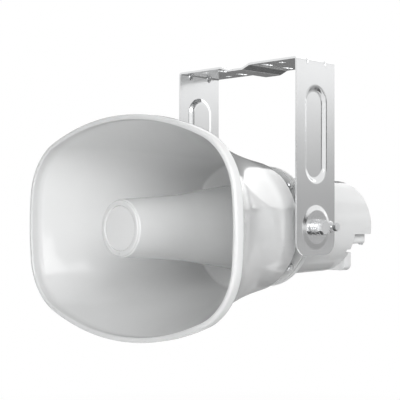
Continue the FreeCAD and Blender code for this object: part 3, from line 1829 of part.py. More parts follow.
# Check and write

def check_document():
    """Stop when any object failed or any sub-part isn't sound."""
    doc.recompute()
    for item in doc.Objects:
        if "Invalid" in item.State or "Error" in item.State:
            raise RuntimeError("%s (%s) failed to build" % (item.Name, item.Label))
    for item in nodes:
        if item.Shape.isNull() or not item.Shape.isValid():
            raise RuntimeError("%s has no valid shape" % item.Label)
        if not item.Shape.Solids:
            raise RuntimeError("%s has no solid" % item.Label)


check_document()
for item in nodes:
    item.Shape.exportStep("parts/%s.step" % item.Label)
    print("%-28s %2d solids %10.1f mm3" % (item.Label, len(item.Shape.Solids), item.Shape.Volume))
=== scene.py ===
import json
import math
from collections import namedtuple

import bmesh
import bpy
from mathutils import Matrix, Vector
from mathutils.geometry import delaunay_2d_cdt


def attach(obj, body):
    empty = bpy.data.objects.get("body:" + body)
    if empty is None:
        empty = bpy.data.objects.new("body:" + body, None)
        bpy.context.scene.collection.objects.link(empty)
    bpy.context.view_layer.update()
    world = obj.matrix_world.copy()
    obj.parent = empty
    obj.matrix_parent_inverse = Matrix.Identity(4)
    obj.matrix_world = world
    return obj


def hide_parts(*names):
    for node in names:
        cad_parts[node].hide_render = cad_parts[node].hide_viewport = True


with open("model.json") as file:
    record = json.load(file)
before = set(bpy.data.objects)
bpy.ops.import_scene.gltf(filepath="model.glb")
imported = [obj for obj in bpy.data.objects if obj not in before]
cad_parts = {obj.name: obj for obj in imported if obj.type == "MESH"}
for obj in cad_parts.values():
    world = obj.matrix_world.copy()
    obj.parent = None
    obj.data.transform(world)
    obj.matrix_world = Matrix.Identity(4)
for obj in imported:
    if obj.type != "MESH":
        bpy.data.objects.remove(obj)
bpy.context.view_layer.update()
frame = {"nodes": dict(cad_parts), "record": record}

# Sizes are in mm about the tilt axis; the row frame's origin is this far above it
AXIS_DROP = 166.0
FRAME_SIZE = 400
HORN = "horn"
BRACKET = "bracket"


def metres(point):
    """A point in mm about the tilt axis, in the row frame's metres."""
    x, y, z = point
    return Vector((x, y, z - AXIS_DROP)) / 1000


# Camera: the photograph's viewing angle

FOCAL_LENGTH, SHIFT_ACROSS, SHIFT_UP = 973.5, -0.4, 12.64  # in the picture's pixels
CAMERA_SPOT, CAMERA_WAY = (0.67923, -0.76301, 0.01433), (-0.7050, 0.7092, 0)


def aim_camera():
    """The level camera in front of the horn's right side."""
    data = bpy.data.cameras.new("photo_camera")
    data.sensor_width = 36
    data.lens = FOCAL_LENGTH / FRAME_SIZE * data.sensor_width
    data.shift_x = SHIFT_ACROSS / FRAME_SIZE
    data.shift_y = SHIFT_UP / FRAME_SIZE
    data.clip_start = 0.05
    data.clip_end = 50
    camera = bpy.data.objects.new("photo_camera", data)
    bpy.context.scene.collection.objects.link(camera)
    camera.location = (CAMERA_SPOT[0], CAMERA_SPOT[1], CAMERA_SPOT[2] - 0.166)
    camera.rotation_mode = "QUATERNION"
    camera.rotation_quaternion = Vector(CAMERA_WAY).to_track_quat("-Z", "Y")
    bpy.context.scene.camera = camera


aim_camera()


# Materials

class Shades:
    """One node material, filled node by node."""

    def __init__(self, name):
        self.material = bpy.data.materials.new(name)
        self.material.use_nodes = True
        self.nodes = self.material.node_tree.nodes
        self.links = self.material.node_tree.links
        self.shader = self.nodes["Principled BSDF"]
        self.where = self.nodes.new("ShaderNodeTexCoord").outputs["Object"]

    def add(self, kind, **inputs):
        """A node with its named inputs set to numbers or linked to sockets."""
        node = self.nodes.new(kind)
        for name, value in inputs.items():
            socket = node.inputs[name.replace("_", " ")]
            if isinstance(value, bpy.types.NodeSocket):
                self.links.new(value, socket)
            else:
                socket.default_value = value
        return node

    def stretched(self, x, y, z, where=None):
        """The piece's coordinates, scaled per axis."""
        return self.add("ShaderNodeMapping", Vector=where or self.where, Scale=(x, y, z)).outputs["Vector"]

    def grain(self, scale, detail=3.0, rough=0.5, where=None):
        """Soft noise of a given fineness."""
        spot = where or self.where
        return self.add(
            "ShaderNodeTexNoise", Vector=spot, Scale=scale, Detail=detail, Roughness=rough,
        ).outputs["Fac"]

    def ramp(self, value, low, high, first, last):
        """A value turned into a colour between two stops."""
        node = self.add("ShaderNodeValToRGB", Fac=value)
        node.color_ramp.elements[0].position = low
        node.color_ramp.elements[1].position = high
        node.color_ramp.elements[0].color = (*first, 1)
        node.color_ramp.elements[1].color = (*last, 1)
        return node.outputs["Color"]

    def spread(self, value, low, high, first, last):
        """A value moved from one range into another."""
        return self.add(
            "ShaderNodeMapRange", Value=value, From_Min=low, From_Max=high, To_Min=first, To_Max=last,
        ).outputs["Result"]

    def relief(self, height, strength, distance):
        """The surface's fine relief."""
        node = self.add("ShaderNodeBump", Height=height, Strength=strength, Distance=distance)
        self.links.new(node.outputs["Normal"], self.shader.inputs["Normal"])

    def colour(self, socket):
        self.links.new(socket, self.shader.inputs["Base Color"])

    def roughness(self, socket):
        self.links.new(socket, self.shader.inputs["Roughness"])

    def fixed(self, **values):
        """Constants on the shader's own sockets."""
        for name, value in values.items():
            self.shader.inputs[name.replace("_", " ")].default_value = value
        return self.material


def moulded(name, tint, gloss, wave=0.012, skin=0.05, scale=900.0):
    """A moulded plastic: faint clouding, uneven gloss and a fine moulding skin."""
    look = Shades(name)
    cloud = look.grain(14.0, 4.0, 0.55)
    darker = tuple(c * (1 - wave) for c in tint)
    lighter = tuple(min(c * (1 + wave), 1) for c in tint)
    look.colour(look.ramp(cloud, 0.3, 0.7, darker, lighter))
    look.roughness(look.spread(look.grain(60.0), 0.3, 0.7, gloss * 0.85, gloss * 1.2))
    look.relief(look.grain(scale, 2.0), skin, 0.00006)
    return look.fixed(Metallic=0.0, IOR=1.47)


def sheet_steel():
    """Satin stainless sheet whose grain runs along the folded strip."""
    look = Shades("satin_steel")
    strip = look.add("ShaderNodeUVMap")
    strip.uv_map = "strip"
    along = look.stretched(6.0, 900.0, 1.0, strip.outputs["UV"])
    lines = look.grain(1.0, 3.0, 0.6, along)
    clouds = look.grain(22.0, 3.0, 0.5)
    look.colour(look.ramp(clouds, 0.3, 0.7, (0.775, 0.78, 0.785), (0.79, 0.795, 0.80)))
    look.roughness(look.spread(lines, 0.25, 0.75, 0.16, 0.20))
    look.relief(lines, 0.012, 0.00002)
    return look.fixed(Metallic=1.0)


def turned_steel(name, tint, gloss, scale=1500.0):
    """Bright fastener steel with faint tool marks; the heads' flat faces, facing along X, stay dull and are
    painted paler as a painted highlight.
    """
    look = Shades(name)
    marks = look.grain(scale, 3.0, 0.6)
    facing = look.add("ShaderNodeSeparateXYZ", Vector=look.where.node.outputs["Normal"])
    dull_face_and_painted_highlight_mask = look.add("ShaderNodeMath", Value=facing.outputs["X"])
    dull_face_and_painted_highlight_mask.operation = "ABSOLUTE"
    # painted highlight: faces turned along X get a colour a quarter paler than the flanks; their duller
    # roughness is the real finish
    painted_highlight_tint = tuple(min(c * 1.25, 1) for c in tint)
    look.colour(look.ramp(dull_face_and_painted_highlight_mask.outputs[0], 0.97, 0.99, tint, painted_highlight_tint))
    dull = look.spread(dull_face_and_painted_highlight_mask.outputs[0], 0.97, 0.99, gloss * 0.75, 0.42)
    dullest = look.spread(dull_face_and_painted_highlight_mask.outputs[0], 0.97, 0.99, gloss * 1.3, 0.5)
    look.roughness(look.spread(marks, 0.3, 0.7, dull, dullest))
    look.relief(marks, 0.08, 0.00003)
    return look.fixed(Metallic=1.0)


def painted_casting():
    """White paint over a die casting, a little orange-peeled."""
    look = Shades("painted_casting")
    cloud = look.grain(30.0, 4.0)
    look.colour(look.ramp(cloud, 0.3, 0.7, (0.80, 0.81, 0.81), (0.835, 0.842, 0.842)))
    look.roughness(look.spread(look.grain(150.0), 0.3, 0.7, 0.3, 0.42))
    look.relief(look.grain(650.0, 2.0), 0.12, 0.0001)
    return look.fixed(Metallic=0.0, IOR=1.5)


def rubber_seal():
    """Soft black rubber with a dusty bloom."""
    look = Shades("seal_rubber")
    dust = look.grain(90.0, 5.0, 0.6)
    look.colour(look.ramp(dust, 0.35, 0.75, (0.028, 0.028, 0.029), (0.075, 0.075, 0.074)))
    look.roughness(look.spread(dust, 0.3, 0.7, 0.6, 0.85))
    look.relief(look.grain(1400.0, 2.0), 0.15, 0.00005)
    return look.fixed(Metallic=0.0)


def stacked_iron():
    """Transformer laminations: thin dark lines along the stack."""
    look = Shades("core_iron")
    waves = look.add("ShaderNodeTexWave", Vector=look.where, Scale=320.0, Distortion=0.6, Detail=2.0)
    waves.wave_type = "BANDS"
    waves.bands_direction = "Z"
    edge = waves.outputs["Fac"]
    look.colour(look.ramp(edge, 0.35, 0.65, (0.13, 0.13, 0.14), (0.34, 0.35, 0.37)))
    look.roughness(look.spread(look.grain(300.0), 0.3, 0.7, 0.4, 0.6))
    look.relief(edge, 0.25, 0.0001)
    return look.fixed(Metallic=0.8)


def wound(name, low, high, scale, axis, metallic):
    """Turns of wire or tape lying side by side."""
    look = Shades(name)
    waves = look.add("ShaderNodeTexWave", Vector=look.where, Scale=scale, Distortion=1.2, Detail=1.5)
    waves.wave_type = "BANDS"
    waves.bands_direction = axis
    look.colour(look.ramp(waves.outputs["Fac"], 0.2, 0.8, low, high))
    look.roughness(look.spread(look.grain(240.0), 0.3, 0.7, 0.3, 0.5))
    look.relief(waves.outputs["Fac"], 0.4, 0.0001)
    return look.fixed(Metallic=metallic)


def ferrite_block():
    """Sintered magnet, dark and slightly porous."""
    look = Shades("ferrite")
    pores = look.grain(700.0, 4.0, 0.7)
    look.colour(look.ramp(pores, 0.35, 0.7, (0.035, 0.035, 0.038), (0.09, 0.09, 0.095)))
    look.roughness(look.spread(pores, 0.3, 0.7, 0.45, 0.7))
    look.relief(pores, 0.2, 0.0001)
    return look.fixed(Metallic=0.2)


FINISHES = {
    "white_plastic": moulded("white_moulding", (0.75, 0.755, 0.755), 0.09),
    "disc_plastic": moulded("plain_disc", (0.79, 0.795, 0.795), 0.42, 0.015, 0.12, 1500.0),
    "bracket_steel": sheet_steel(),
    "ring_metal": painted_casting(),
    "bright_steel": turned_steel("bright_steel", (0.68, 0.685, 0.69), 0.17),
    "screw_steel": turned_steel("zinc_screws", (0.64, 0.65, 0.66), 0.28),
    "seal_rubber": rubber_seal(),
    "insert_brass": turned_steel("insert_brass", (0.70, 0.53, 0.24), 0.3),
    "tab_metal": turned_steel("tinned_tab", (0.72, 0.68, 0.55), 0.3),
    "gland_plastic": moulded("gland_nylon", (0.66, 0.665, 0.66), 0.38, 0.02, 0.15),
    "cap_plastic": moulded("black_cap", (0.045, 0.045, 0.046), 0.4, 0.08, 0.3),
    "film": moulded("amber_film", (0.50, 0.27, 0.07), 0.25, 0.05, 0.05),
    "coil_copper": wound("coil_copper", (0.40, 0.17, 0.07), (0.72, 0.38, 0.20), 900.0, "Y", 1.0),
    "plate_steel": turned_steel("plated_sheet", (0.58, 0.59, 0.60), 0.34),
    "ferrite": ferrite_block(),
    "strip_board": moulded("brown_board", (0.32, 0.19, 0.10), 0.5, 0.1, 0.3),
    "core_iron": stacked_iron(),
    "winding_tape": wound("winding_tape", (0.45, 0.33, 0.05), (0.68, 0.52, 0.12), 260.0, "Z", 0.0),
    "lead_sleeve": moulded("red_sleeve", (0.35, 0.03, 0.025), 0.4, 0.05, 0.1),
}
SLOT_OF = {row["node"]: row["material_slot"] for row in frame["record"]["subparts"]}


# Making pieces

def settled(piece):
    """The piece with its modifiers made part of its mesh."""
    bpy.context.view_layer.update()
    done = bpy.data.meshes.new_from_object(piece.evaluated_get(bpy.context.evaluated_depsgraph_get()))
    piece.modifiers.clear()
    piece.data = done
    return piece


def softened(piece, angle):
    """Smooth shading except across sharp edges."""
    piece.data.shade_smooth()
    piece.data.set_sharp_from_angle(angle=math.radians(angle))
    return piece


def bevelled(piece, width, angle=35, segments=2):
    """Small rounded edges, width in mm, where faces meet at more than the angle."""
    edge = piece.modifiers.new("edge", "BEVEL")
    edge.width = width / 1000
    edge.segments = segments
    edge.limit_method = "ANGLE"
    edge.angle_limit = math.radians(angle)
    edge.use_clamp_overlap = True
    return settled(piece)


def new_object(name, mesh):
    piece = bpy.data.objects.new(name, mesh)
    bpy.context.scene.collection.objects.link(piece)
    return piece


def facing_out(mesh, merge=1e-7):
    """The mesh with its doubles merged and its faces turned outwards."""
    shell = bmesh.new()
    shell.from_mesh(mesh)
    bmesh.ops.remove_doubles(shell, verts=shell.verts, dist=merge)
    bmesh.ops.recalc_face_normals(shell, faces=shell.faces)
    shell.to_mesh(mesh)
    shell.free()
    return mesh


def from_faces(name, points, faces):
    """A closed shell from mm points and faces, facing outwards."""
    mesh = bpy.data.meshes.new(name)
    mesh.from_pydata([metres(p) for p in points], [], faces)
    return new_object(name, facing_out(mesh))


def at_origin(piece):
    """The part mesh moved so that its own origin is the one it was drawn about."""
    piece.data.transform(Matrix.Translation((0, 0, AXIS_DROP / 1000)))
    return piece


def dress(piece, body, slot, *nodes):
    """Finish a piece: its material, the body it rides on and the nodes it stands for."""
    piece.data.materials.clear()
    piece.data.materials.append(FINISHES[slot])
    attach(piece, body)
    if nodes:
        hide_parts(*nodes)
    return piece


def body_of(node):
    bodies = frame["record"]["behaviour"]["bodies"]
    return next(body for body, nodes in bodies.items() if node in nodes)


def finished_copy(node, width=0.3, angle=35):
    """A merged copy of a node with softened edges, standing for it."""
    mesh = frame["nodes"][node].data.copy()
    shell = bmesh.new()
    shell.from_mesh(mesh)
    bmesh.ops.remove_doubles(shell, verts=shell.verts, dist=2e-6)
    bmesh.ops.dissolve_limit(
        shell, angle_limit=math.radians(0.5), verts=shell.verts, edges=shell.edges, delimit={"NORMAL"},
    )
    shell.to_mesh(mesh)
    shell.free()
    piece = new_object(node + "_finished", mesh)
    if width:
        bevelled(piece, width, angle)
    softened(piece, angle)
    return dress(piece, body_of(node), SLOT_OF[node], node)


def rounded_path(corners, closed=False, steps=6):
    """Points along corners given as (a, b, radius), each eased by an arc."""
    path = []
    count = len(corners)
    for i, (a, b, radius) in enumerate(corners):
        here = Vector((a, b))
        at_end = not closed and i in (0, count - 1)
        if radius <= 0 or at_end:
            path.append(here)
            continue
        before = (Vector(corners[i - 1][:2]) - here).normalized()
        after = (Vector(corners[(i + 1) % count][:2]) - here).normalized()
        half = before.angle(after) / 2
        centre = here + (before + after).normalized() * radius / math.sin(half)
        first = here + before * radius / math.tan(half) - centre
        last = here + after * radius / math.tan(half) - centre
        turn = math.atan2(first.x * last.y - first.y * last.x, first.dot(last))
        start = math.atan2(first.y, first.x)
        for k in range(steps + 1):
            angle = start + turn * k / steps
            path.append(centre + Vector((math.cos(angle), math.sin(angle))) * radius)
    return path


def around(axis, position, radius, steps=72, centre=(0, 0), six_sided=False, lower=None):
    """Points round an axis; six_sided gives a hexagon of that flat-to-middle distance."""
    points = []
    for i in range(steps):
        angle = 2 * math.pi * i / steps
        reach = radius
        if six_sided:
            reach = radius / math.cos((angle + math.pi / 6) % (math.pi / 3) - math.pi / 6)
        here = position + (lower(reach) if lower else 0)
        u = centre[0] + reach * math.cos(angle)
        v = centre[1] + reach * math.sin(angle)
        points.append({"X": (here, u, v), "Y": (u, here, v), "Z": (u, v, here)}[axis])
    return points


def lofted(rings, closed=False):
    """Points and faces of a skin over rings; a ring of one point is a pole."""
    points, faces, starts = [], [], []
    for ring in rings:
        starts.append(len(points))
        points += ring
    count = len(rings)
    for i in range(count if closed else count - 1):
        a, b = starts[i], starts[(i + 1) % count]
        m, n = len(rings[i]), len(rings[(i + 1) % count])
        steps = max(m, n)
        for k in range(steps):
            j = (k + 1) % steps
            if m == 1:
                faces.append((a, b + k, b + j))
            elif n == 1:
                faces.append((a + k, a + j, b))
            else:
                faces.append((a + k, a + j, b + j, b + k))
    return points, faces


def turned(name, axis, corners, centre=(0, 0), steps=96, closed=False, ease=4):
    """A turned piece from (radius, position, rounding) corners."""
    rings = []
    for radius, position in rounded_path(corners, closed, ease):
        if radius < 1e-6:
            point = {
                "X": (position, *centre), "Y": (centre[0], position, centre[1]), "Z": (*centre, position),
            }[axis]
            rings.append([point])
        else:
            rings.append(around(axis, position, radius, steps, centre))
    return from_faces(name, *lofted(rings, closed))


# Geometry Nodes: repeated, path-following and turned pieces

STAND_UP = (math.pi / 2, 0, 0)  # from the trees' Z axis to the horn's


def node_group(name, **inputs):
    """A tree with a geometry in and out and named inputs of the given kinds."""
    tree = bpy.data.node_groups.new(name, "GeometryNodeTree")
    tree.interface.new_socket("Geometry", in_out="INPUT", socket_type="NodeSocketGeometry")
    tree.interface.new_socket("Geometry", in_out="OUTPUT", socket_type="NodeSocketGeometry")
    for label, kind in inputs.items():
        tree.interface.new_socket(label.replace("_", " "), in_out="INPUT", socket_type="NodeSocket" + kind)
    return tree, tree.nodes.new("NodeGroupInput")


def wire(tree, *wires):
    """Link nodes, each wire given as (from node, output, to node, input)."""
    for source, given, target, taken in wires:
        tree.links.new(source.outputs[given], target.inputs[taken])


def close_group(tree, entry, last, result="Geometry"):
    """Realize the instances, set the finish and send the result out."""
    real = tree.nodes.new("GeometryNodeRealizeInstances")
    paint = tree.nodes.new("GeometryNodeSetMaterial")
    leave = tree.nodes.new("NodeGroupOutput")
    wire(
        tree, (last, result, real, "Geometry"), (real, "Geometry", paint, "Geometry"),
        (entry, "Finish", paint, "Material"), (paint, "Geometry", leave, "Geometry"),
    )
    return tree


def parts_on_points(tree, entry, spots):
    """The part set on every spot, each turned by chance about the part's own axis."""
    part = tree.nodes.new("GeometryNodeObjectInfo")
    chance = tree.nodes.new("FunctionNodeRandomValue")
    chance.data_type = "FLOAT_VECTOR"
    place = tree.nodes.new("GeometryNodeInstanceOnPoints")
    wire(
        tree, (entry, "Part", part, "Object"), (entry, "Turn Limit", chance, 1),
        (entry, "Seed", chance, "Seed"), (spots, "Geometry", place, "Points"),
        (part, "Geometry", place, "Instance"), (chance, 0, place, "Rotation"),
    )
    return close_group(tree, entry, place, "Instances")


def ring_pattern():
    """Equal parts on a circle round the horn's axis."""
    tree, entry = node_group(
        "parts_on_a_circle", Part="Object", Count="Int", Circle="Float", First_Angle="Vector", Seat="Vector",
        Turn_Limit="Vector", Seed="Int", Finish="Material",
    )
    circle = tree.nodes.new("GeometryNodeMeshCircle")
    spin = tree.nodes.new("GeometryNodeTransform")
    stand = tree.nodes.new("GeometryNodeTransform")
    stand.inputs["Rotation"].default_value = STAND_UP
    wire(
        tree, (entry, "Count", circle, "Vertices"), (entry, "Circle", circle, "Radius"),
        (circle, "Mesh", spin, "Geometry"), (entry, "First Angle", spin, "Rotation"),
        (spin, "Geometry", stand, "Geometry"), (entry, "Seat", stand, "Translation"),
    )
    return parts_on_points(tree, entry, stand)


def grid_pattern():
    """Equal parts on the corners of a rectangle, turned to face as asked."""
    tree, entry = node_group(
        "parts_on_a_rectangle", Part="Object", Across="Int", Along="Int", Width="Float", Length="Float",
        Facing="Vector", Seat="Vector", Turn_Limit="Vector", Seed="Int", Finish="Material",
    )
    grid = tree.nodes.new("GeometryNodeMeshGrid")
    stand = tree.nodes.new("GeometryNodeTransform")
    wire(
        tree, (entry, "Width", grid, "Size X"), (entry, "Length", grid, "Size Y"),
        (entry, "Across", grid, "Vertices X"), (entry, "Along", grid, "Vertices Y"),
        (grid, "Mesh", stand, "Geometry"), (entry, "Facing", stand, "Rotation"),
        (entry, "Seat", stand, "Translation"),
    )
    return parts_on_points(tree, entry, stand)


def coil_group():
    """A flat-sided coil: a square bar led along a spiral."""
    tree, entry = node_group(
        "split_spring_washer", Turns="Float", Radius="Float", Rise="Float", Bar_Width="Float",
        Bar_Height="Float", Facing="Vector", Seat="Vector", Finish="Material",
    )
    spiral = tree.nodes.new("GeometryNodeCurveSpiral")
    spiral.inputs["Resolution"].default_value = 64
    upright = tree.nodes.new("GeometryNodeSetCurveNormal")
    upright.mode = "Z_UP"
    bar = tree.nodes.new("GeometryNodeCurvePrimitiveQuadrilateral")
    sweep = tree.nodes.new("GeometryNodeCurveToMesh")
    sweep.inputs["Fill Caps"].default_value = True
    stand = tree.nodes.new("GeometryNodeTransform")
    wire(
        tree, (entry, "Turns", spiral, "Rotations"), (entry, "Radius", spiral, "Start Radius"),
        (entry, "Radius", spiral, "End Radius"), (entry, "Rise", spiral, "Height"),
        (entry, "Bar Width", bar, "Width"), (entry, "Bar Height", bar, "Height"),
        (spiral, "Curve", upright, "Curve"), (upright, "Curve", sweep, "Curve"),
        (bar, "Curve", sweep, "Profile Curve"), (sweep, "Mesh", stand, "Geometry"),
        (entry, "Facing", stand, "Rotation"), (entry, "Seat", stand, "Translation"),
    )
    return close_group(tree, entry, stand)


def turning_group():
    """A turned shell: its outline led round the horn's axis."""
    tree, entry = node_group("turned_shell", Hub="Float", Steps="Int", Seat="Vector", Finish="Material")
    rail = tree.nodes.new("GeometryNodeCurvePrimitiveCircle")
    upright = tree.nodes.new("GeometryNodeSetCurveNormal")
    upright.mode = "Z_UP"
    outline = tree.nodes.new("GeometryNodeMeshToCurve")
    sweep = tree.nodes.new("GeometryNodeCurveToMesh")
    weld = tree.nodes.new("GeometryNodeMergeByDistance")
    weld.inputs["Distance"].default_value = 1e-6
    stand = tree.nodes.new("GeometryNodeTransform")
    stand.inputs["Rotation"].default_value = STAND_UP
    wire(
        tree, (entry, "Steps", rail, "Resolution"), (entry, "Hub", rail, "Radius"),
        (rail, "Curve", upright, "Curve"), (upright, "Curve", sweep, "Curve"),
        (entry, "Geometry", outline, "Mesh"), (outline, "Curve", sweep, "Profile Curve"),
        (sweep, "Mesh", weld, "Geometry"),
        (weld, "Geometry", stand, "Geometry"), (entry, "Seat", stand, "Translation"),
    )
    return close_group(tree, entry, stand)


def grown(name, tree, base=None, **values):
    """An object made by a tree with its inputs set, as a plain mesh."""
    piece = new_object(name, base or bpy.data.meshes.new(name))
    made = piece.modifiers.new("tree", "NODES")
    made.node_group = tree
    sockets = {item.name: item for item in tree.interface.items_tree if item.item_type == "SOCKET"}
    for label, value in values.items():
        made[sockets[label.replace("_", " ")].identifier] = value
    return settled(piece)


RING_PATTERN = ring_pattern()
GRID_PATTERN = grid_pattern()
COIL = coil_group()
TURNING = turning_group()


# Horn bell

MOUTH_FRONT, LIP_DEPTH, BELL_REAR = -183.0, 9.0, -10.0
HALF_WIDTH, HALF_HEIGHT, LIP_STEP = 143.8, 104.0, 1.8
TOP_RADIUS, SIDE_RADIUS, CORNER_RADIUS = 268.0, 315.0, 61.0
REAR_RADIUS, WALL = 67.6, 3.0
JOINT = MOUTH_FRONT + LIP_DEPTH
FLARE_DEPTH = BELL_REAR - JOINT
QUARTER = (14, 22, 18)  # points along a quarter's side, corner and top arcs
RINGS_ALONG = 46
FLOOR_FACE, FLOOR_BORE = -22, 11.8
REAR_STEPS = (  # radius and y round the floor's back, the neck and the flange
    (51.6, -17), (50.4, -16.6), (50, -15.6), (50, 0), (50, 8.2), (50.4, 9.1), (51.4, 9.5), (63.1, 9.5),
    (63.5, 9.9), (63.5, 11.5), (63.2, 11.8), (47.3, 11.8), (47, 11.5), (47, -17), (FLOOR_BORE, -17),
)


def arc_points(centre, radius, first, last, steps):
    """Points along an arc, its last one left out."""
    angles = [math.radians(first + (last - first) * i / steps) for i in range(steps)]
    return [(centre[0] + radius * math.cos(a), centre[1] + radius * math.sin(a)) for a in angles]


def all_round(quarter, y):
    """A full outline at y from the points between +X and +Z."""
    first = [(x, y, z) for x, z in quarter]
    second = [(-x, y, z) for x, z in reversed(quarter)]
    third = [(-x, y, -z) for x, z in quarter]
    fourth = [(x, y, -z) for x, z in reversed(quarter)]
    return first[:-1] + second[:-1] + third[:-1] + fourth[:-1]


def round_outline(radius, y):
    """A circle with as many points as the mouth's outline."""
    side, corner, top = QUARTER
    quarter = arc_points((0, 0), radius, 0, 28.6, side) + arc_points((0, 0), radius, 28.6, 61.4, corner)
    return all_round(quarter + arc_points((0, 0), radius, 61.4, 90, top) + [(0, radius)], y)


def mouth_outline(half_width, half_height, top, side, corner, y):
    """The rounded rectangle of tangent arcs at y."""
    top_centre = Vector((0, half_height - top))
    side_centre = Vector((half_width - side, 0))
    reach_top, reach_side = top - corner, side - corner
    gap = side_centre - top_centre
    along = (reach_top ** 2 - reach_side ** 2 + gap.length_squared) / (2 * gap.length)
    away = math.sqrt(max(reach_top ** 2 - along ** 2, 0))
    step = gap.normalized()
    normal = Vector((-step.y, step.x))
    middle = top_centre + step * along
    corner_centre = max((middle + normal * away, middle - normal * away), key=lambda p: p.x + p.y)
    side_end = math.degrees(math.atan2(*(corner_centre - side_centre).yx))
    top_end = math.degrees(math.atan2(*(corner_centre - top_centre).yx))
    counts = QUARTER
    quarter = arc_points(side_centre, side, 0, side_end, counts[0])
    quarter += arc_points(corner_centre, corner, side_end, top_end, counts[1])
    quarter += arc_points(top_centre, top, top_end, 90, counts[2])
    return all_round(quarter + [(0, half_height)], y)


def lip_outline(inset, y):
    """The bead's outline, inset from its outer edge."""
    shrink = inset - LIP_STEP
    return mouth_outline(
        HALF_WIDTH - inset, HALF_HEIGHT - inset, TOP_RADIUS - shrink, SIDE_RADIUS - shrink,
        CORNER_RADIUS - shrink, y,
    )


def flare_outline(y, inset):
    """The flare's outline at y, grown from the rear circle to the mouth."""
    back = BELL_REAR - y
    share = min(max(back / FLARE_DEPTH, 0), 1)
    circle = REAR_RADIUS - inset

    def half(end, slope):
        bend = (end - REAR_RADIUS - slope * FLARE_DEPTH) / FLARE_DEPTH ** 2
        return REAR_RADIUS + slope * back + bend * back ** 2 - inset

    half_width = half(HALF_WIDTH - LIP_STEP, 0.08)
    half_height = half(HALF_HEIGHT - LIP_STEP, 0.11)
    if share == 0:
        return round_outline(circle, y)
    blend = share ** 0.75

    def grow(first, last):
        return first + (last - inset - first) * blend

    top = max(grow(circle * 1.02, TOP_RADIUS), half_width * 1.02)
    side = max(grow(circle * 1.02, SIDE_RADIUS), half_height * 1.02)
    corner = min(grow(circle * 0.97, CORNER_RADIUS), half_height * 0.96)
    return mouth_outline(half_width, half_height, top, side, corner, y)


def quarter_round(first, last, steps=5):
    """Shares from 0 to 1 of a quarter turn that leaves first along its second coordinate."""
    return [
        (
            first[0] + (last[0] - first[0]) * (1 - math.cos(math.pi / 2 * i / steps)),
            first[1] + (last[1] - first[1]) * math.sin(math.pi / 2 * i / steps),
        )
        for i in range(steps + 1)
    ]


def bell_rings():
    """The bell's rings from the floor's hole, through the mouth and back to the flange."""
    inner = LIP_STEP + WALL
    count = RINGS_ALONG
    rings = [round_outline(r, FLOOR_FACE) for r in (FLOOR_BORE, 30, 50)]
    # floor into the wall
    rings.append(flare_outline(FLOOR_FACE, WALL + 2.4))
    rings += [flare_outline(y, WALL + inset) for y, inset in quarter_round((FLOOR_FACE, 2.4), (-24.4, 0))[1:]]
    rings += [flare_outline(-26 + (JOINT + 26) * i / count, WALL) for i in range(count)]
    rings += [lip_outline(inner, y) for y in (JOINT, -177.5, -181.2)]
    # inner and outer round of the bead
    for inset, y in quarter_round((inner, -181.4), (inner - 1.6, MOUTH_FRONT)):
        rings.append(lip_outline(inset, y))
    for y, inset in quarter_round((MOUTH_FRONT, 2.4), (MOUTH_FRONT + 2.4, 0)):
        rings.append(lip_outline(inset, y))
    rings += [lip_outline(0, y) for y in (-178.5, -176.5, JOINT - 0.5)]
    rings += [lip_outline(0.15, JOINT - 0.15), lip_outline(0.5, JOINT), lip_outline(LIP_STEP - 0.5, JOINT)]
    rings += [lip_outline(LIP_STEP - 0.12, JOINT + 0.15), lip_outline(LIP_STEP, JOINT + 0.6)]
    rings += [flare_outline(JOINT + 1.5 + (-11.2 - JOINT - 1.5) * i / count, 0) for i in range(count + 1)]
    # rear edge, skirt, floor's back, neck and flange
    for inset, y in quarter_round((0.05, -11.0), (0.9, -10.1)):
        rings.append(flare_outline(y, inset))
    rings += [flare_outline(-10.05, 2.4), flare_outline(-10.4, WALL), flare_outline(-16.2, WALL)]
    return rings + [flare_outline(-17, WALL + 0.8)] + [round_outline(r, y) for r, y in REAR_STEPS]


bell = from_faces("bell_moulding", *lofted(bell_rings(), closed=True))
dress(softened(bell, 50), HORN, "white_plastic", "horn_bell")

FLANGE_CIRCLE = 59.3
boss_part = at_origin(turned(
    "flange_boss_part", "Y", [(0, -4.5, 0), (4.2, -4.5, 0.6), (4.2, 0.4, 0), (0, 0.4, 0)], steps=40,
))
bosses = grown(
    "flange_bosses", RING_PATTERN, Part=boss_part, Count=4, Circle=FLANGE_CIRCLE / 1000,
    First_Angle=(0, 0, math.pi / 4), Seat=metres((0, 9.5, 0)), Turn_Limit=(0, 0, 0), Seed=1,
    Finish=FINISHES["white_plastic"],
)
dress(softened(bosses, 40), HORN, "white_plastic")


# Reflector in the mouth's middle, its trim ring and bare disc

REFLECTOR_OUTLINE = [
    (0, -183, 0), (25.9, -183, 0.3), (26.8, -182.1, 0.7), (30.1, -132, 90), (31.8, -110, 70),
    (42.5, -38, 0.9), (40.3, -38, 0.9), (29.6, -110, 60), (28.0, -132, 80), (25.4, -180.8, 0.6),
    (0, -180.8, 0),
]
REFLECTOR_HUB = 20.0


def outline_mesh(name, corners, hub, ease):
    """The turning tree's outline: an open chain of edges, radii counted from the hub's circle."""
    mesh = bpy.data.meshes.new(name)
    spots = [((r - hub) / 1000, y / 1000, 0) for r, y in rounded_path(corners, False, ease)]
    mesh.from_pydata(spots, [(i, i + 1) for i in range(len(spots) - 1)], [])
    return mesh


reflector = grown(
    "reflector_shell", TURNING, outline_mesh("reflector_outline", REFLECTOR_OUTLINE, REFLECTOR_HUB, 8),
    Hub=REFLECTOR_HUB / 1000, Steps=128, Seat=metres((0, 0, 0)), Finish=FINISHES["white_plastic"],
)
facing_out(reflector.data, 2e-6)
dress(softened(reflector, 40), HORN, "white_plastic", "reflector")

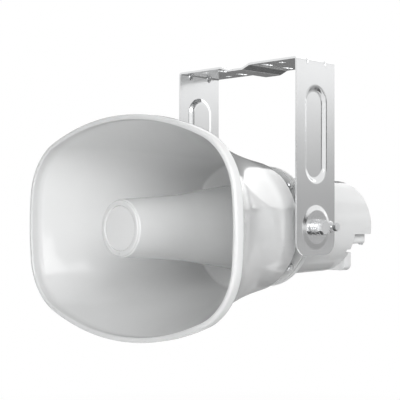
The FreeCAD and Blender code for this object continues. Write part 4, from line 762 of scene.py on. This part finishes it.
trim = turned("face_trim_ring", "Y", [
    (20.6, -183, 0), (20.6, -185, 0.9), (25.7, -185, 1.5), (25.7, -183, 0),
], steps=128, closed=True, ease=6)
drill = turned(
    "drain_drill", "Y", [(0, -187, 0), (0.7, -187, 0), (0.7, -181, 0), (0, -181, 0)], (0, -23.15), 24,
)
hole = trim.modifiers.new("drain", "BOOLEAN")
hole.object = drill
hole.operation = "DIFFERENCE"
hole.solver = "EXACT"
settled(trim)
bpy.data.objects.remove(drill)
dress(softened(trim, 40), HORN, "white_plastic", "reflector_ring")

disc = turned("bare_face_disc", "Y", [
    (0, -184.25, 0), (19.6, -184.2, 0.4), (20.5, -184.0, 0.3), (20.5, -183.0, 0), (0, -183.0, 0),
], steps=96)
dress(softened(disc, 40), HORN, "disc_plastic", "reflector_disc")


# Bracket: one folded and pressed sheet, worked out flat and then folded

SPAN, LEG_LOW, HALF_STRIP, SHEET = 82.0, -28.0, 30.0, 2.0
PIVOT_HOLE, LOCK_HOLE, LOCK_Y = 4.05, 2.0, 22.6
RIB_HALF, RIB_LOW, RIB_HIGH, RIB_SLOPE, RIB_DEPTH = 16.5, 44.0, 139.5, 4.0, 3.0
BOSS_FOOT, BOSS_TOP, BOSS_HEIGHT, PAD_RADIUS = 21.6, 17.0, 1.2, 5.6
PLATE_HOLE_X, PLATE_HOLE_Y, PLATE_HOLE = 53.0, 17.5, 3.5
SLOT_X, SLOT_Y, SLOT_HALF, SLOT_REACH = 32.0, 16.0, 3.0, 4.5
DART_Y, DART_HALF, DART_REACH = 14.0, 1.9, 6.0
FOOT_CORNER = 15.0
BEND_STEPS = 8
FOLDS = [(0, 162, 0), (10, 162, 8), (20, 166, 8), (SPAN, AXIS_DROP, 3), (SPAN, LEG_LOW, 0)]


# A straight part has a place and a way; a bend has its centre, first spoke, radius and turn
Run = namedtuple("Run", "start place way radius turn", defaults=(None, None))


class Strip:
    """The folded sheet's outer line, measured from the middle of the plate."""

    def __init__(self, corners):
        self.runs = []
        self.length = 0.0
        here = Vector(corners[0][:2])
        for i in range(1, len(corners)):
            corner = Vector(corners[i][:2])
            forward = (corner - here).normalized()
            radius = corners[i][2]
            if i == len(corners) - 1:
                self.add_line(here, corner)
                break
            onward = (Vector(corners[i + 1][:2]) - corner).normalized()
            turn = math.atan2(forward.x * onward.y - forward.y * onward.x, forward.dot(onward))
            reach = radius * math.tan(abs(turn) / 2)
            start = corner - forward * reach
            self.add_line(here, start)
            side = Vector((-forward.y, forward.x)) * math.copysign(1, turn)
            self.runs.append(Run(self.length, start + side * radius, -side, radius, turn))
            self.length += radius * abs(turn)
            here = corner + onward * reach

    def add_line(self, first, last):
        self.runs.append(Run(self.length, first, (last - first).normalized()))
        self.length += (last - first).length

    def at(self, s):
        """The place and outward direction at a length along the strip."""
        run = [r for r in self.runs if r.start <= s + 1e-9][-1]
        way = run.way
        if run.radius is None:
            return run.place + way * (s - run.start), Vector((-way.y, way.x))
        angle = (s - run.start) / run.radius * math.copysign(1, run.turn)
        cosine, sine = math.cos(angle), math.sin(angle)
        spoke = Vector((way.x * cosine - way.y * sine, way.x * sine + way.y * cosine))
        return run.place + spoke * run.radius, spoke if run.turn < 0 else -spoke

    def folds(self, steps):
        """Lengths of the crease lines of every bend."""
        bends = [r for r in self.runs if r.radius is not None]
        return [r.start + r.radius * abs(r.turn) * k / steps for r in bends for k in range(steps + 1)]


STRIP = Strip(FOLDS)
BEND_START, BEND_END = STRIP.runs[-2].start, STRIP.runs[-1].start


def leg_height(s):
    """Height over the tilt axis of a length along the strip, on the leg."""
    return AXIS_DROP - 3 - (s - BEND_END)


def leg_length(z):
    return BEND_END + AXIS_DROP - 3 - z


def plate_length(x):
    """The strip's length at a place on the plate's flat part."""
    return BEND_START - (SPAN - 3 - x)


def ramp(inside, width, height, ease):
    """A pressed slope's height at a distance inside its outer line."""
    slope = height / width
    if inside <= -ease:
        return 0.0
    if inside < ease:
        return slope * (inside + ease) ** 2 / (4 * ease)
    if inside <= width - ease:
        return slope * inside
    if inside < width + ease:
        return height - slope * (width + ease - inside) ** 2 / (4 * ease)
    return height


def rib_inside(s, v):
    """Distance inside the rib's outline."""
    z = leg_height(s)
    near = min(max(z, RIB_LOW + RIB_HALF), RIB_HIGH - RIB_HALF)
    return RIB_HALF - math.hypot(z - near, v)


def pressed_depth(s, v):
    """How far the sheet is pressed outwards (+) or inwards (-)."""
    if s < BEND_END - 0.01:
        return 0.0
    z = leg_height(s)
    if z > 40:
        return -ramp(rib_inside(s, v), RIB_SLOPE, RIB_DEPTH, 1.25)
    boss = ramp(BOSS_FOOT - math.hypot(z, v), BOSS_FOOT - BOSS_TOP, BOSS_HEIGHT, 0.8)
    pad = ramp(PAD_RADIUS + 0.3 - math.hypot(z, v - LOCK_Y), 0.7, BOSS_HEIGHT, 0.3)
    return max(boss, pad)


def folded_point(s, v):
    """A point of the flat strip, folded, pressed and darted, in mm."""
    spot, outward = STRIP.at(s)
    spot = spot + outward * pressed_depth(s, v)
    short = (DART_REACH - (SPAN - spot.x) - (AXIS_DROP - spot.y)) / math.sqrt(2)
    beside = abs(abs(v) - DART_Y) / DART_HALF
    if short > 0 and beside < 1:
        share = min(1.0, 1.25 * (1 - beside))
        share = share * share * (3 - 2 * share)
        spot = spot - Vector((1, 1)).normalized() * short * share
    return (spot.x, v, spot.y)


def loop_round(s, v, radius, steps):
    angles = [2 * math.pi * i / steps for i in range(steps)]
    return [(s + radius * math.cos(a), v + radius * math.sin(a)) for a in angles]


def loop_slot(s, v, radius, reach, steps=20):
    """A slotted hole's edge, long across the strip."""
    points = []
    for i in range(steps * 2):
        angle = math.pi * i / steps
        shift = reach if i < steps else -reach
        points.append((s + radius * math.cos(angle), v + shift + radius * math.sin(angle)))
    return points


def stadium_loop(inset, spacing):
    """A line inside the rib's outline, open to any inset."""
    half = RIB_HALF - inset
    low, high = RIB_LOW + RIB_HALF, RIB_HIGH - RIB_HALF
    ends = max(int(math.pi * half / spacing), 12)
    sides = int((high - low) / spacing / 2)
    points = []
    for i in range(ends):
        angle = math.pi * i / ends
        points.append((high + half * math.sin(angle), half * math.cos(angle)))
    points += [(high - (high - low) * i / sides, -half) for i in range(sides)]
    for i in range(ends):
        angle = math.pi * i / ends
        points.append((low - half * math.sin(angle), -half * math.cos(angle)))
    points += [(low + (high - low) * i / sides, half) for i in range(sides)]
    return [(leg_length(z), v) for z, v in points]


def strip_holes():
    """Edges of all the holes in the flat strip's right half."""
    loops = [loop_round(leg_length(0), 0, PIVOT_HOLE, 40), loop_round(leg_length(0), LOCK_Y, LOCK_HOLE, 28)]
    for side in (1, -1):
        loops.append(loop_round(plate_length(PLATE_HOLE_X), PLATE_HOLE_Y * side, PLATE_HOLE, 36))
        loops.append(loop_slot(plate_length(SLOT_X), SLOT_Y * side, SLOT_HALF, SLOT_REACH))
    return loops


def in_hole(s, v, margin=0.0):
    if math.hypot(s - leg_length(0), v) < PIVOT_HOLE + margin:
        return True
    if math.hypot(s - leg_length(0), v - LOCK_Y) < LOCK_HOLE + margin:
        return True
    if math.hypot(s - plate_length(PLATE_HOLE_X), abs(v) - PLATE_HOLE_Y) < PLATE_HOLE + margin:
        return True
    off = max(abs(abs(v) - SLOT_Y) - SLOT_REACH, 0)
    return math.hypot(s - plate_length(SLOT_X), off) < SLOT_HALF + margin


def strip_edge():
    """The right half's outline, with the rounded foot."""
    foot = STRIP.length
    points = [(0.0, -HALF_STRIP + i * 2.0) for i in range(30)]
    even = [4.0 * i for i in range(1, int((foot - FOOT_CORNER) / 4))]
    stops = sorted({round(s, 6) for s in STRIP.folds(BEND_STEPS) + even})
    stops = [s for i, s in enumerate(stops) if s > 0 and (i == 0 or s - stops[i - 1] > 0.2)]
    top = [(s, HALF_STRIP) for s in [0.0] + stops]
    centre = HALF_STRIP - FOOT_CORNER
    turn = [math.pi / 2 * i / 16 for i in range(17)]
    corner = [
        (foot - FOOT_CORNER + FOOT_CORNER * math.sin(a), centre + FOOT_CORNER * math.cos(a)) for a in turn
    ]
    low_edge = [(foot, centre - 3.0 * i) for i in range(1, 10)]
    other = [(s, -v) for s, v in reversed(top + corner)]
    return points + top + corner + low_edge + other[:-1]


def crease_points():
    """Rows of points across the strip at every bend and round the darts."""
    rows = []
    columns = [-HALF_STRIP + 2.0 * i for i in range(1, 30)]
    fine = [s * (DART_Y + k * 0.19) for s in (1, -1) for k in range(-11, 12)]
    plain = [v for v in columns if abs(abs(v) - DART_Y) > 2.4]
    for s in STRIP.folds(BEND_STEPS):
        dense = s >= BEND_START - 0.01
        rows += [(s, v) for v in (plain + fine if dense else columns)]
    for k in range(1, 9):
        for s in (BEND_START - k * 0.5, BEND_END + k * 0.5):
            rows += [(s, v) for v in fine]
    return rows


# Where the pressed slopes get their rings of points
RIB_INSETS = (-1.7, -1.25, -0.8, -0.4, 0, 0.4, 0.8, 1.25, 2, 2.75, 3.2, 3.6, 4, 4.4, 4.8, 5.25, 5.7)
BOSS_RADII = (22.9, 22.4, 22, 21.6, 21.2, 20.8, 19.8, 18.8, 17.8, 17.4, 17, 16.6, 16.2, 15.7)
PAD_RADII = (6.4, 6.2, 6.05, 5.9, 5.75, 5.55, 5.35, 5.2, 5.05, 4.8)


def pressing_points():
    """Rings of points over the pressed slopes."""
    points = []
    for inset in RIB_INSETS:
        points += stadium_loop(inset, 1.2)
    at = leg_length(0)
    for radius in BOSS_RADII:
        ring = loop_round(at, 0, radius, 108)
        points += [p for p in ring if math.hypot(p[0] - at, p[1] - LOCK_Y) > PAD_RADIUS + 0.9]
    for radius in PAD_RADII:
        points += loop_round(at, LOCK_Y, radius, 64)
    return points


def plain_points(taken):
    """A loose grid where the sheet is flat."""
    points = []
    s = 2.0
    while s < STRIP.length - 2:
        v = -27.5
        while v < 28:
            z = leg_height(s)
            on_leg = s > BEND_END + 5
            flat = s < BEND_START - 5 or on_leg
            if on_leg and z > 40:
                flat = not -2.4 < rib_inside(s, v) < 6.6
            elif on_leg:
                near = math.hypot(z, v)
                flat = not 14.6 < near < 24.2 and math.hypot(z, v - LOCK_Y) > 7.5
                flat = flat and not (abs(v) > HALF_STRIP - FOOT_CORNER and z < LEG_LOW + FOOT_CORNER
                                     and math.hypot(abs(v) - 15, z - (LEG_LOW + 15)) > 13.5)
            flat = flat and all(abs(s - fold) > 1.2 for fold in taken)
            if flat and not in_hole(s, v, 1.3):
                points.append((s, v))
            v += 5.0
        s += 5.0
    return points


def make_bracket():
    """The right half worked out flat, folded, mirrored and given its thickness."""
    points, edges = [], []
    for loop in [strip_edge()] + strip_holes():
        start = len(points)
        points += loop
        edges += [(start + i, start + (i + 1) % len(loop)) for i in range(len(loop))]
    creases = STRIP.folds(BEND_STEPS)
    points += [p for p in crease_points() + pressing_points() if not in_hole(*p, 0.2)]
    points += plain_points(creases)
    flat_points, _, faces, *_ = delaunay_2d_cdt([Vector(p) for p in points], edges, [], 0, 1e-4)

    def kept(face):
        s = sum(flat_points[i].x for i in face) / 3
        v = sum(flat_points[i].y for i in face) / 3
        over = s - (STRIP.length - FOOT_CORNER)
        beyond = over > 0 and abs(v) > 15 and math.hypot(over, abs(v) - 15) > FOOT_CORNER
        return not in_hole(s, v) and not beyond

    faces = [tuple(face) for face in faces if kept(face)]
    right = [folded_point(p.x, p.y) for p in flat_points]
    left = [(-x, y, z) for x, y, z in right]
    count = len(right)
    mesh = bpy.data.meshes.new("bracket_sheet")
    both = faces + [tuple(i + count for i in reversed(face)) for face in faces]
    mesh.from_pydata([metres(p) for p in right + left], [], both)
    strip = mesh.uv_layers.new(name="strip")
    for face in mesh.polygons:
        for corner in face.loop_indices:
            vertex = mesh.loops[corner].vertex_index
            flat = flat_points[vertex % count]
            side = 1 if vertex < count else -1
            strip.data[corner].uv = (flat.x * side / 1000, flat.y / 1000)
    shell = bmesh.new()
    shell.from_mesh(mesh)
    bmesh.ops.remove_doubles(shell, verts=shell.verts, dist=1e-7)
    bmesh.ops.delete(shell, geom=[v for v in shell.verts if not v.link_faces], context="VERTS")
    bmesh.ops.recalc_face_normals(shell, faces=shell.faces)
    plate = max(shell.faces, key=lambda f: f.calc_center_median().z)
    if plate.normal.z < 0:
        bmesh.ops.reverse_faces(shell, faces=shell.faces)
    shell.to_mesh(mesh)
    shell.free()
    sheet = new_object("bracket_sheet", mesh)
    wall = sheet.modifiers.new("wall", "SOLIDIFY")
    wall.thickness = SHEET / 1000
    wall.offset = -1
    wall.use_even_offset = True
    settled(sheet)
    bevelled(sheet, 0.25, 60)
    even = sheet.modifiers.new("even", "WEIGHTED_NORMAL")
    even.keep_sharp = True
    softened(sheet, 45)
    return dress(sheet, BRACKET, "bracket_steel", "mounting_bracket")


make_bracket()


# Pivot bolts, washers and lock screws

LEG_FACE = SPAN + BOSS_HEIGHT
WASHER_END = LEG_FACE + 1.6
SPRING_END = WASHER_END + 2.2
COLLAR_END = SPRING_END + 1.6
HEAD_END = COLLAR_END + 5.3


def mirrored_pair(name, points, faces, body, slot, node, edge_angle=22):
    """The right piece and its left twin."""
    right = from_faces(name + "_right", points, faces)
    left = from_faces(name + "_left", [(-x, y, z) for x, y, z in points], faces)
    for piece, side in ((right, "right"), (left, "left")):
        dress(softened(piece, edge_angle), body, slot, "%s_%s" % (node, side))


def hex_rings(first, last, flats, centre=(0, 0), steps=96):
    """A hexagon head along X whose corners are turned off at a slant."""
    half = flats / 2
    crown = half * 1.06

    def lowered(reach):
        return -max(reach - crown, 0) * 0.6

    rings = [
        around("X", first, half - 0.15, steps, centre, True),
        around("X", first + 0.15, half, steps, centre, True),
        around("X", last, half, steps, centre, True, lowered),
    ]
    face = []
    for _, u, v in around("X", last, half, steps, centre, True):
        spoke = Vector((u - centre[0], v - centre[1]))
        spoke *= min(1.0, crown / spoke.length)
        face.append((last, centre[0] + spoke.x, centre[1] + spoke.y))
    return rings + [face, [(last, *centre)]]


def threaded_rings(first, last, radius, pitch, centre=(0, 0), steps=96):
    """Grooves along a shank."""
    rings = []
    place = first
    while place < last - pitch:
        rings.append(around("X", place, radius, steps, centre))
        rings.append(around("X", place + pitch / 2, radius - pitch * 0.45, steps, centre))
        place += pitch
    rings.append(around("X", last, radius, steps, centre))
    return rings


def pivot_bolt_rings():
    """Tip, threaded shank, collar and hex head."""
    tip = SPAN - SHEET - 12.5
    rings = [[(tip, 0, 0)], around("X", tip, 3.3, 96)]
    rings += threaded_rings(tip + 0.7, LEG_FACE - 0.4, 4.0, 1.25)
    rings += [around("X", x, r, 96) for x, r in (
        (SPRING_END, 4.0), (SPRING_END, 7.2), (SPRING_END + 0.3, 7.5), (COLLAR_END - 0.3, 7.5),
        (COLLAR_END, 7.2),
    )]
    return rings + hex_rings(COLLAR_END, HEAD_END, 13.0)


def lock_screw_rings():
    """The small screw beside the pivot."""
    seat = LEG_FACE + 1.0
    head = seat + 3.2
    tip = SPAN - SHEET - 0.3 - 5.0 - 0.3 - 3.0 - 0.7
    spot = (LOCK_Y, 0)
    rings = [[(tip, *spot)], around("X", tip, 1.6, 96, spot)]
    rings += threaded_rings(tip + 0.4, head, 2.0, 0.7, spot)
    return rings + hex_rings(head, head + 4.0, 7.2, spot)


def washer_rings(first, last, outer, bore, centre=(0, 0)):
    corners = [(bore, first, 0), (outer, first, 0.25), (outer, last, 0.25), (bore, last, 0)]
    return [around("X", x, r, 72, centre) for r, x in rounded_path(corners, True, 3)]


mirrored_pair("pivot_bolt", *lofted(pivot_bolt_rings()), HORN, "bright_steel", "pivot_bolt")
mirrored_pair(
    "pivot_washer", *lofted(washer_rings(LEG_FACE, WASHER_END, 8.0, 4.1), True), HORN, "bright_steel",
    "pivot_washer",
)
mirrored_pair("lock_screw", *lofted(lock_screw_rings()), BRACKET, "bright_steel", "lock_screw")
mirrored_pair(
    "lock_washer", *lofted(washer_rings(LEG_FACE, LEG_FACE + 1.0, 4.5, 2.1, (LOCK_Y, 0)), True), BRACKET,
    "bright_steel", "lock_washer",
)
for side, sign in (("right", 1), ("left", -1)):
    spring = grown(
        "pivot_spring_washer_%s_coil" % side, COIL, Turns=0.95, Radius=0.0056, Rise=0.0004, Bar_Width=0.0029,
        Bar_Height=0.0018, Facing=(0, math.pi / 2 * sign, 0), Seat=metres((sign * (WASHER_END + 0.9), 0, 0)),
        Finish=FINISHES["bright_steel"],
    )
    facing_out(spring.data, 2e-6)
    bevelled(spring, 0.12, 40)
    dress(softened(spring, 40), HORN, "bright_steel", "pivot_spring_washer_" + side)


# Screws set in patterns

def pan_head(name, radius, height, shank):
    """A pan-head screw with a cross recess, its seat at the origin and its head towards -Y."""
    head = turned(name, "Y", [
        (0, -height, 0), (radius * 0.55, -height, height * 0.3), (radius, -height * 0.45, height * 0.35),
        (radius, 0, 0.1), (shank, 0, 0), (shank, 1.2, 0), (0, 1.2, 0),
    ], steps=40)
    for turn in (0, math.pi / 2):
        half, wide = radius * 0.5, radius * 0.13
        corners = []
        for y, share in ((-height - 0.5, 1.0), (-height * 0.35, 0.45)):
            reach = half * share
            for u, v in ((reach, wide), (-reach, wide), (-reach, -wide), (reach, -wide)):
                x = u * math.cos(turn) - v * math.sin(turn)
                z = u * math.sin(turn) + v * math.cos(turn)
                corners.append((x, y, z))
        faces = [(0, 1, 2, 3), (7, 6, 5, 4), (0, 4, 5, 1), (1, 5, 6, 2), (2, 6, 7, 3), (3, 7, 4, 0)]
        blade = from_faces("recess", corners, faces)
        recess = head.modifiers.new("recess", "BOOLEAN")
        recess.object = blade
        recess.solver = "EXACT"
        settled(head)
        bpy.data.objects.remove(blade)
    return softened(at_origin(head), 35)


def screws_on_circle(name, part, count, circle, first, y, seed, node):
    """Screws of one size on a circle, standing for a node."""
    piece = grown(
        name, RING_PATTERN, Part=part, Count=count, Circle=circle / 1000,
        First_Angle=(0, 0, math.radians(first)), Seat=metres((0, y, 0)), Turn_Limit=(0, 6.28, 0), Seed=seed,
        Finish=FINISHES["screw_steel"],
    )
    return dress(piece, HORN, "screw_steel", node)


def screws_on_grid(name, part, across, along, width, length, seat, turn_limit, seed, node):
    """Screws of one size on the corners of a level rectangle, standing for a node."""
    piece = grown(
        name, GRID_PATTERN, Part=part, Across=across, Along=along, Width=width / 1000, Length=length / 1000,
        Facing=(0, 0, 0), Seat=metres(seat), Turn_Limit=turn_limit, Seed=seed, Finish=FINISHES["screw_steel"],
    )
    return dress(piece, HORN, "screw_steel", node)


def flipped(piece, turn, axis):
    """The part mesh turned about its own origin."""
    piece.data.transform(Matrix.Rotation(math.radians(turn), 4, axis))
    return piece


flange_head = pan_head("flange_screw_part", 3.2, 2.0, 1.9)
screws_on_circle("flange_screw_set", flange_head, 4, FLANGE_CIRCLE, 45, 5.0, 3, "flange_screws")
housing_head = flipped(pan_head("housing_screw_part", 3.2, 2.0, 1.9), 180, "Z")
screws_on_circle("housing_screw_set", housing_head, 4, 56.5, 22.5, 21.0, 5, "housing_screws")
cover_head = flipped(pan_head("cover_screw_part", 2.8, 1.8, 1.4), 90, "X")
screws_on_grid(
    "cover_screw_set", cover_head, across=2, along=2, width=81.0, length=19.8, seat=(0, 123.1, -19.8),
    turn_limit=(0, 0, 6.28), seed=8, node="cover_screws",
)
screws_on_grid(
    "junction_screw_set", housing_head, across=2, along=1, width=58.0, length=0.0, seat=(0, 122.0, -37.5),
    turn_limit=(0, 6.28, 0), seed=2, node="junction_screws",
)
for pattern_part in (boss_part, flange_head, housing_head, cover_head):
    bpy.data.objects.remove(pattern_part)


# Pieces that keep the CAD form with eased edges

def truly_round(piece, low, high, slope):
    """Faces that lie on a round wall between two radii get the wall's own normals."""
    mesh = piece.data
    normals = [corner.vector.copy() for corner in mesh.corner_normals]
    drop = Vector((0, 0, AXIS_DROP / 1000))
    for face in mesh.polygons:
        spoke = face.center + drop
        spoke.y = 0
        if not low < spoke.length * 1000 < high or face.normal.dot(spoke.normalized()) < 0.97:
            continue
        for corner in face.loop_indices:
            spot = mesh.vertices[mesh.loops[corner].vertex_index].co + drop
            reach = math.hypot(spot.x, spot.z)
            normals[corner] = Vector((spot.x, reach * slope, spot.z)).normalized()
    mesh.normals_split_custom_set(normals)


EASED_EDGES = {
    "tone_arm": 0.4, "pivot_ring": 0.6, "pivot_insert_left": 0.15, "pivot_insert_right": 0.15,
    "flange_gasket": 0.2, "rear_housing": 0.7, "service_cover": 0.5, "junction_box": 0.6,
    "junction_seal": 0.2, "gland_body": 0.4, "gland_nut": 0.4, "gland_seal": 0.3, "gland_locknut": 0.3,
    "lock_nut_left": 0.25, "lock_nut_right": 0.25,
}
CAN_RADII, CAN_TAPER = (49.5, 53.5), 0.017
for node, ease in EASED_EDGES.items():
    piece = finished_copy(node, ease)
    if node == "rear_housing":
        truly_round(piece, *CAN_RADII, CAN_TAPER)


def coat_inner_pieces():
    """The CAD pieces left as they are get their finishes."""
    for node, piece in frame["nodes"].items():
        finish = FINISHES[SLOT_OF[node]]
        if piece.material_slots:
            for place in piece.material_slots:
                place.link = "OBJECT"
                place.material = finish
        else:
            piece.data.materials.append(finish)


coat_inner_pieces()


# Studio

WHITE_LIGHT = ("Is Camera Ray", "Is Glossy Ray", "Is Transmission Ray")


def seen_directly(nodes, links):
    """1 for the rays that see the backdrop itself, else 0."""
    paths = nodes.new("ShaderNodeLightPath")
    total = None
    for label in WHITE_LIGHT:
        if total is None:
            total = paths.outputs[label]
            continue
        either = nodes.new("ShaderNodeMath")
        either.operation = "MAXIMUM"
        links.new(total, either.inputs[0])
        links.new(paths.outputs[label], either.inputs[1])
        total = either.outputs[0]
    return total


FLOOR_HEIGHT = -584


def lay_floor():
    """A wide pale floor under the speaker, fading into the white around it."""
    rings = [around("Z", FLOOR_HEIGHT, reach, 64) for reach in (3000, 1000)] + [[(0, 0, FLOOR_HEIGHT)]]
    floor = from_faces("studio_floor", *lofted(rings))
    if floor.data.polygons[0].normal.z < 0:
        floor.data.flip_normals()
    look = Shades("pale_floor")
    look.colour(look.ramp(look.grain(3.0), 0.3, 0.7, (0.80, 0.80, 0.80), (0.82, 0.82, 0.82)))
    look.fixed(Roughness=0.9)
    far = look.add("ShaderNodeVectorMath", Vector=look.where)
    far.operation = "LENGTH"
    share = look.spread(far.outputs["Value"], 1.0, 2.4, 0.85, 1.0)
    bright = look.add("ShaderNodeMath")
    bright.operation = "MULTIPLY"
    look.links.new(seen_directly(look.nodes, look.links), bright.inputs[0])
    look.links.new(share, bright.inputs[1])
    glow = look.add("ShaderNodeEmission", Color=(1, 1, 1, 1), Strength=1.0)
    mix = look.add("ShaderNodeMixShader", Fac=bright.outputs[0])
    look.links.new(look.shader.outputs[0], mix.inputs[1])
    look.links.new(glow.outputs[0], mix.inputs[2])
    look.links.new(mix.outputs[0], look.nodes["Material Output"].inputs["Surface"])
    floor.data.materials.append(look.material)


def light_world():
    """White to the camera and to reflections, a dimmer grey as room light."""
    world = bpy.data.worlds.new("studio_white")
    bpy.context.scene.world = world
    world.use_nodes = True
    nodes, links = world.node_tree.nodes, world.node_tree.links
    room = nodes["Background"]
    room.inputs["Color"].default_value = (0.97, 0.985, 1.0, 1)
    room.inputs["Strength"].default_value = 0.10
    white = nodes.new("ShaderNodeBackground")
    white.inputs["Color"].default_value = (1, 1, 1, 1)
    white.inputs["Strength"].default_value = 1.0
    mix = nodes.new("ShaderNodeMixShader")
    links.new(seen_directly(nodes, links), mix.inputs[0])
    links.new(room.outputs[0], mix.inputs[1])
    links.new(white.outputs[0], mix.inputs[2])
    links.new(mix.outputs[0], nodes["World Output"].inputs["Surface"])


def softbox(name, place, target, wide, high, power, mirrored=True):
    """A soft lamp aimed at a point; reflections show it when mirrored is on."""
    lamp = bpy.data.lights.new(name, "AREA")
    lamp.shape = "RECTANGLE"
    lamp.size, lamp.size_y = wide, high
    lamp.energy = power
    holder = bpy.data.objects.new(name, lamp)
    bpy.context.scene.collection.objects.link(holder)
    holder.visible_glossy = mirrored
    holder.location = place
    holder.rotation_mode = "QUATERNION"
    holder.rotation_quaternion = (Vector(target) - Vector(place)).to_track_quat("-Z", "Y")


def grey_card(name, bearings, reach, heights, strengths, bend=1.0):
    """A card that only reflections see, shaded from its low edge to its high one.

    Its bearings are degrees round the horn, turning from +X towards +Y. Its reach, heights and
    strengths are the distances, heights and brightnesses of its low and its high edge.
    """
    low, high = heights
    spots = [Vector((math.cos(math.radians(a)), math.sin(math.radians(a)), 0)) for a in bearings]
    corners = [spot * reach[0] + Vector((0, 0, low)) for spot in spots]
    corners += [spot * reach[1] + Vector((0, 0, high)) for spot in reversed(spots)]
    mesh = bpy.data.meshes.new(name)
    mesh.from_pydata(corners, [], [(0, 1, 2, 3)])
    card = new_object(name, mesh)
    look = Shades(name)
    height = look.add("ShaderNodeSeparateXYZ", Vector=look.where).outputs["Z"]
    rise = look.add("ShaderNodeMath")
    rise.operation = "POWER"
    rise.inputs[1].default_value = bend
    look.links.new(look.spread(height, low, high, 0.0, 1.0), rise.inputs[0])
    strength = look.spread(rise.outputs[0], 0.0, 1.0, *strengths)
    glow = look.add("ShaderNodeEmission", Color=(1, 1, 1, 1), Strength=strength)
    look.links.new(glow.outputs[0], look.nodes["Material Output"].inputs["Surface"])
    mesh.materials.append(look.material)
    card.visible_camera = False
    card.visible_diffuse = False
    card.visible_shadow = False


lay_floor()
light_world()
softbox("key_light", (1.3, -0.75, 0.55), (0, -0.05, -0.16), 1.0, 0.7, 10.7, False)
softbox("front_fill", (0.85, -1.55, 0.35), (0, 0, -0.17), 1.1, 1.0, 12)
softbox("low_fill", (0.5, -1.3, -0.6), (0, -0.1, -0.12), 0.8, 0.4, 3.3)
softbox("side_fill", (1.4, 0.45, 0.75), (0, 0, -0.17), 0.8, 0.6, 11, False)
softbox("back_left_fill", (-1.35, 0.9, 0.0), (0, 0.05, -0.17), 1.0, 0.8, 10, False)
grey_card("dark_behind_left", (118, 160), (1.8, 1.8), (-0.45, 0.62), (0.21, 0.14))
grey_card("white_high_left", (118, 160), (1.8, 1.8), (0.62, 1.6), (1.8, 1.8))
grey_card("grey_below_left", (117, 160), (1.8, 1.8), (-0.75, -0.45), (0.42, 0.36))
grey_card("dark_on_the_floor", (98, 130), (0.75, 1.6), (-0.74, -0.70), (0.12, 0.12))
grey_card("white_behind", (72, 118), (1.8, 1.8), (0.07, 1.6), (1.9, 1.9))
grey_card("grey_below_behind", (94, 118), (1.8, 1.8), (-0.75, 0.07), (0.30, 0.95))
grey_card("grey_behind_right", (38, 67), (1.7, 1.7), (-0.25, 0.26), (0.41, 1.3), 1.9)
grey_card("grey_below_right", (7, 95), (1.7, 1.7), (-0.75, -0.25), (0.38, 0.42))
grey_card("grey_floor_right", (35, 85), (0.96, 1.6), (-0.735, -0.73), (0.40, 0.40))
grey_card("dark_floor_right", (-15, 45), (0.3, 1.1), (-0.73, -0.72), (0.08, 0.08))
grey_card("dark_floor_behind", (50, 95), (0.6, 1.15), (-0.72, -0.715), (0.08, 0.08))
grey_card("dark_strip_right", (6, 37), (1.7, 1.7), (-0.08, 0.18), (0.04, 0.04))
grey_card("white_high_right", (-42, -18), (1.6, 1.6), (0.36, 0.95), (3.5, 3.5))
grey_card("grey_front_left", (212, 252), (1.9, 1.9), (-0.7, 0.12), (0.45, 0.70))

bpy.context.scene.view_settings.view_transform = "Standard"
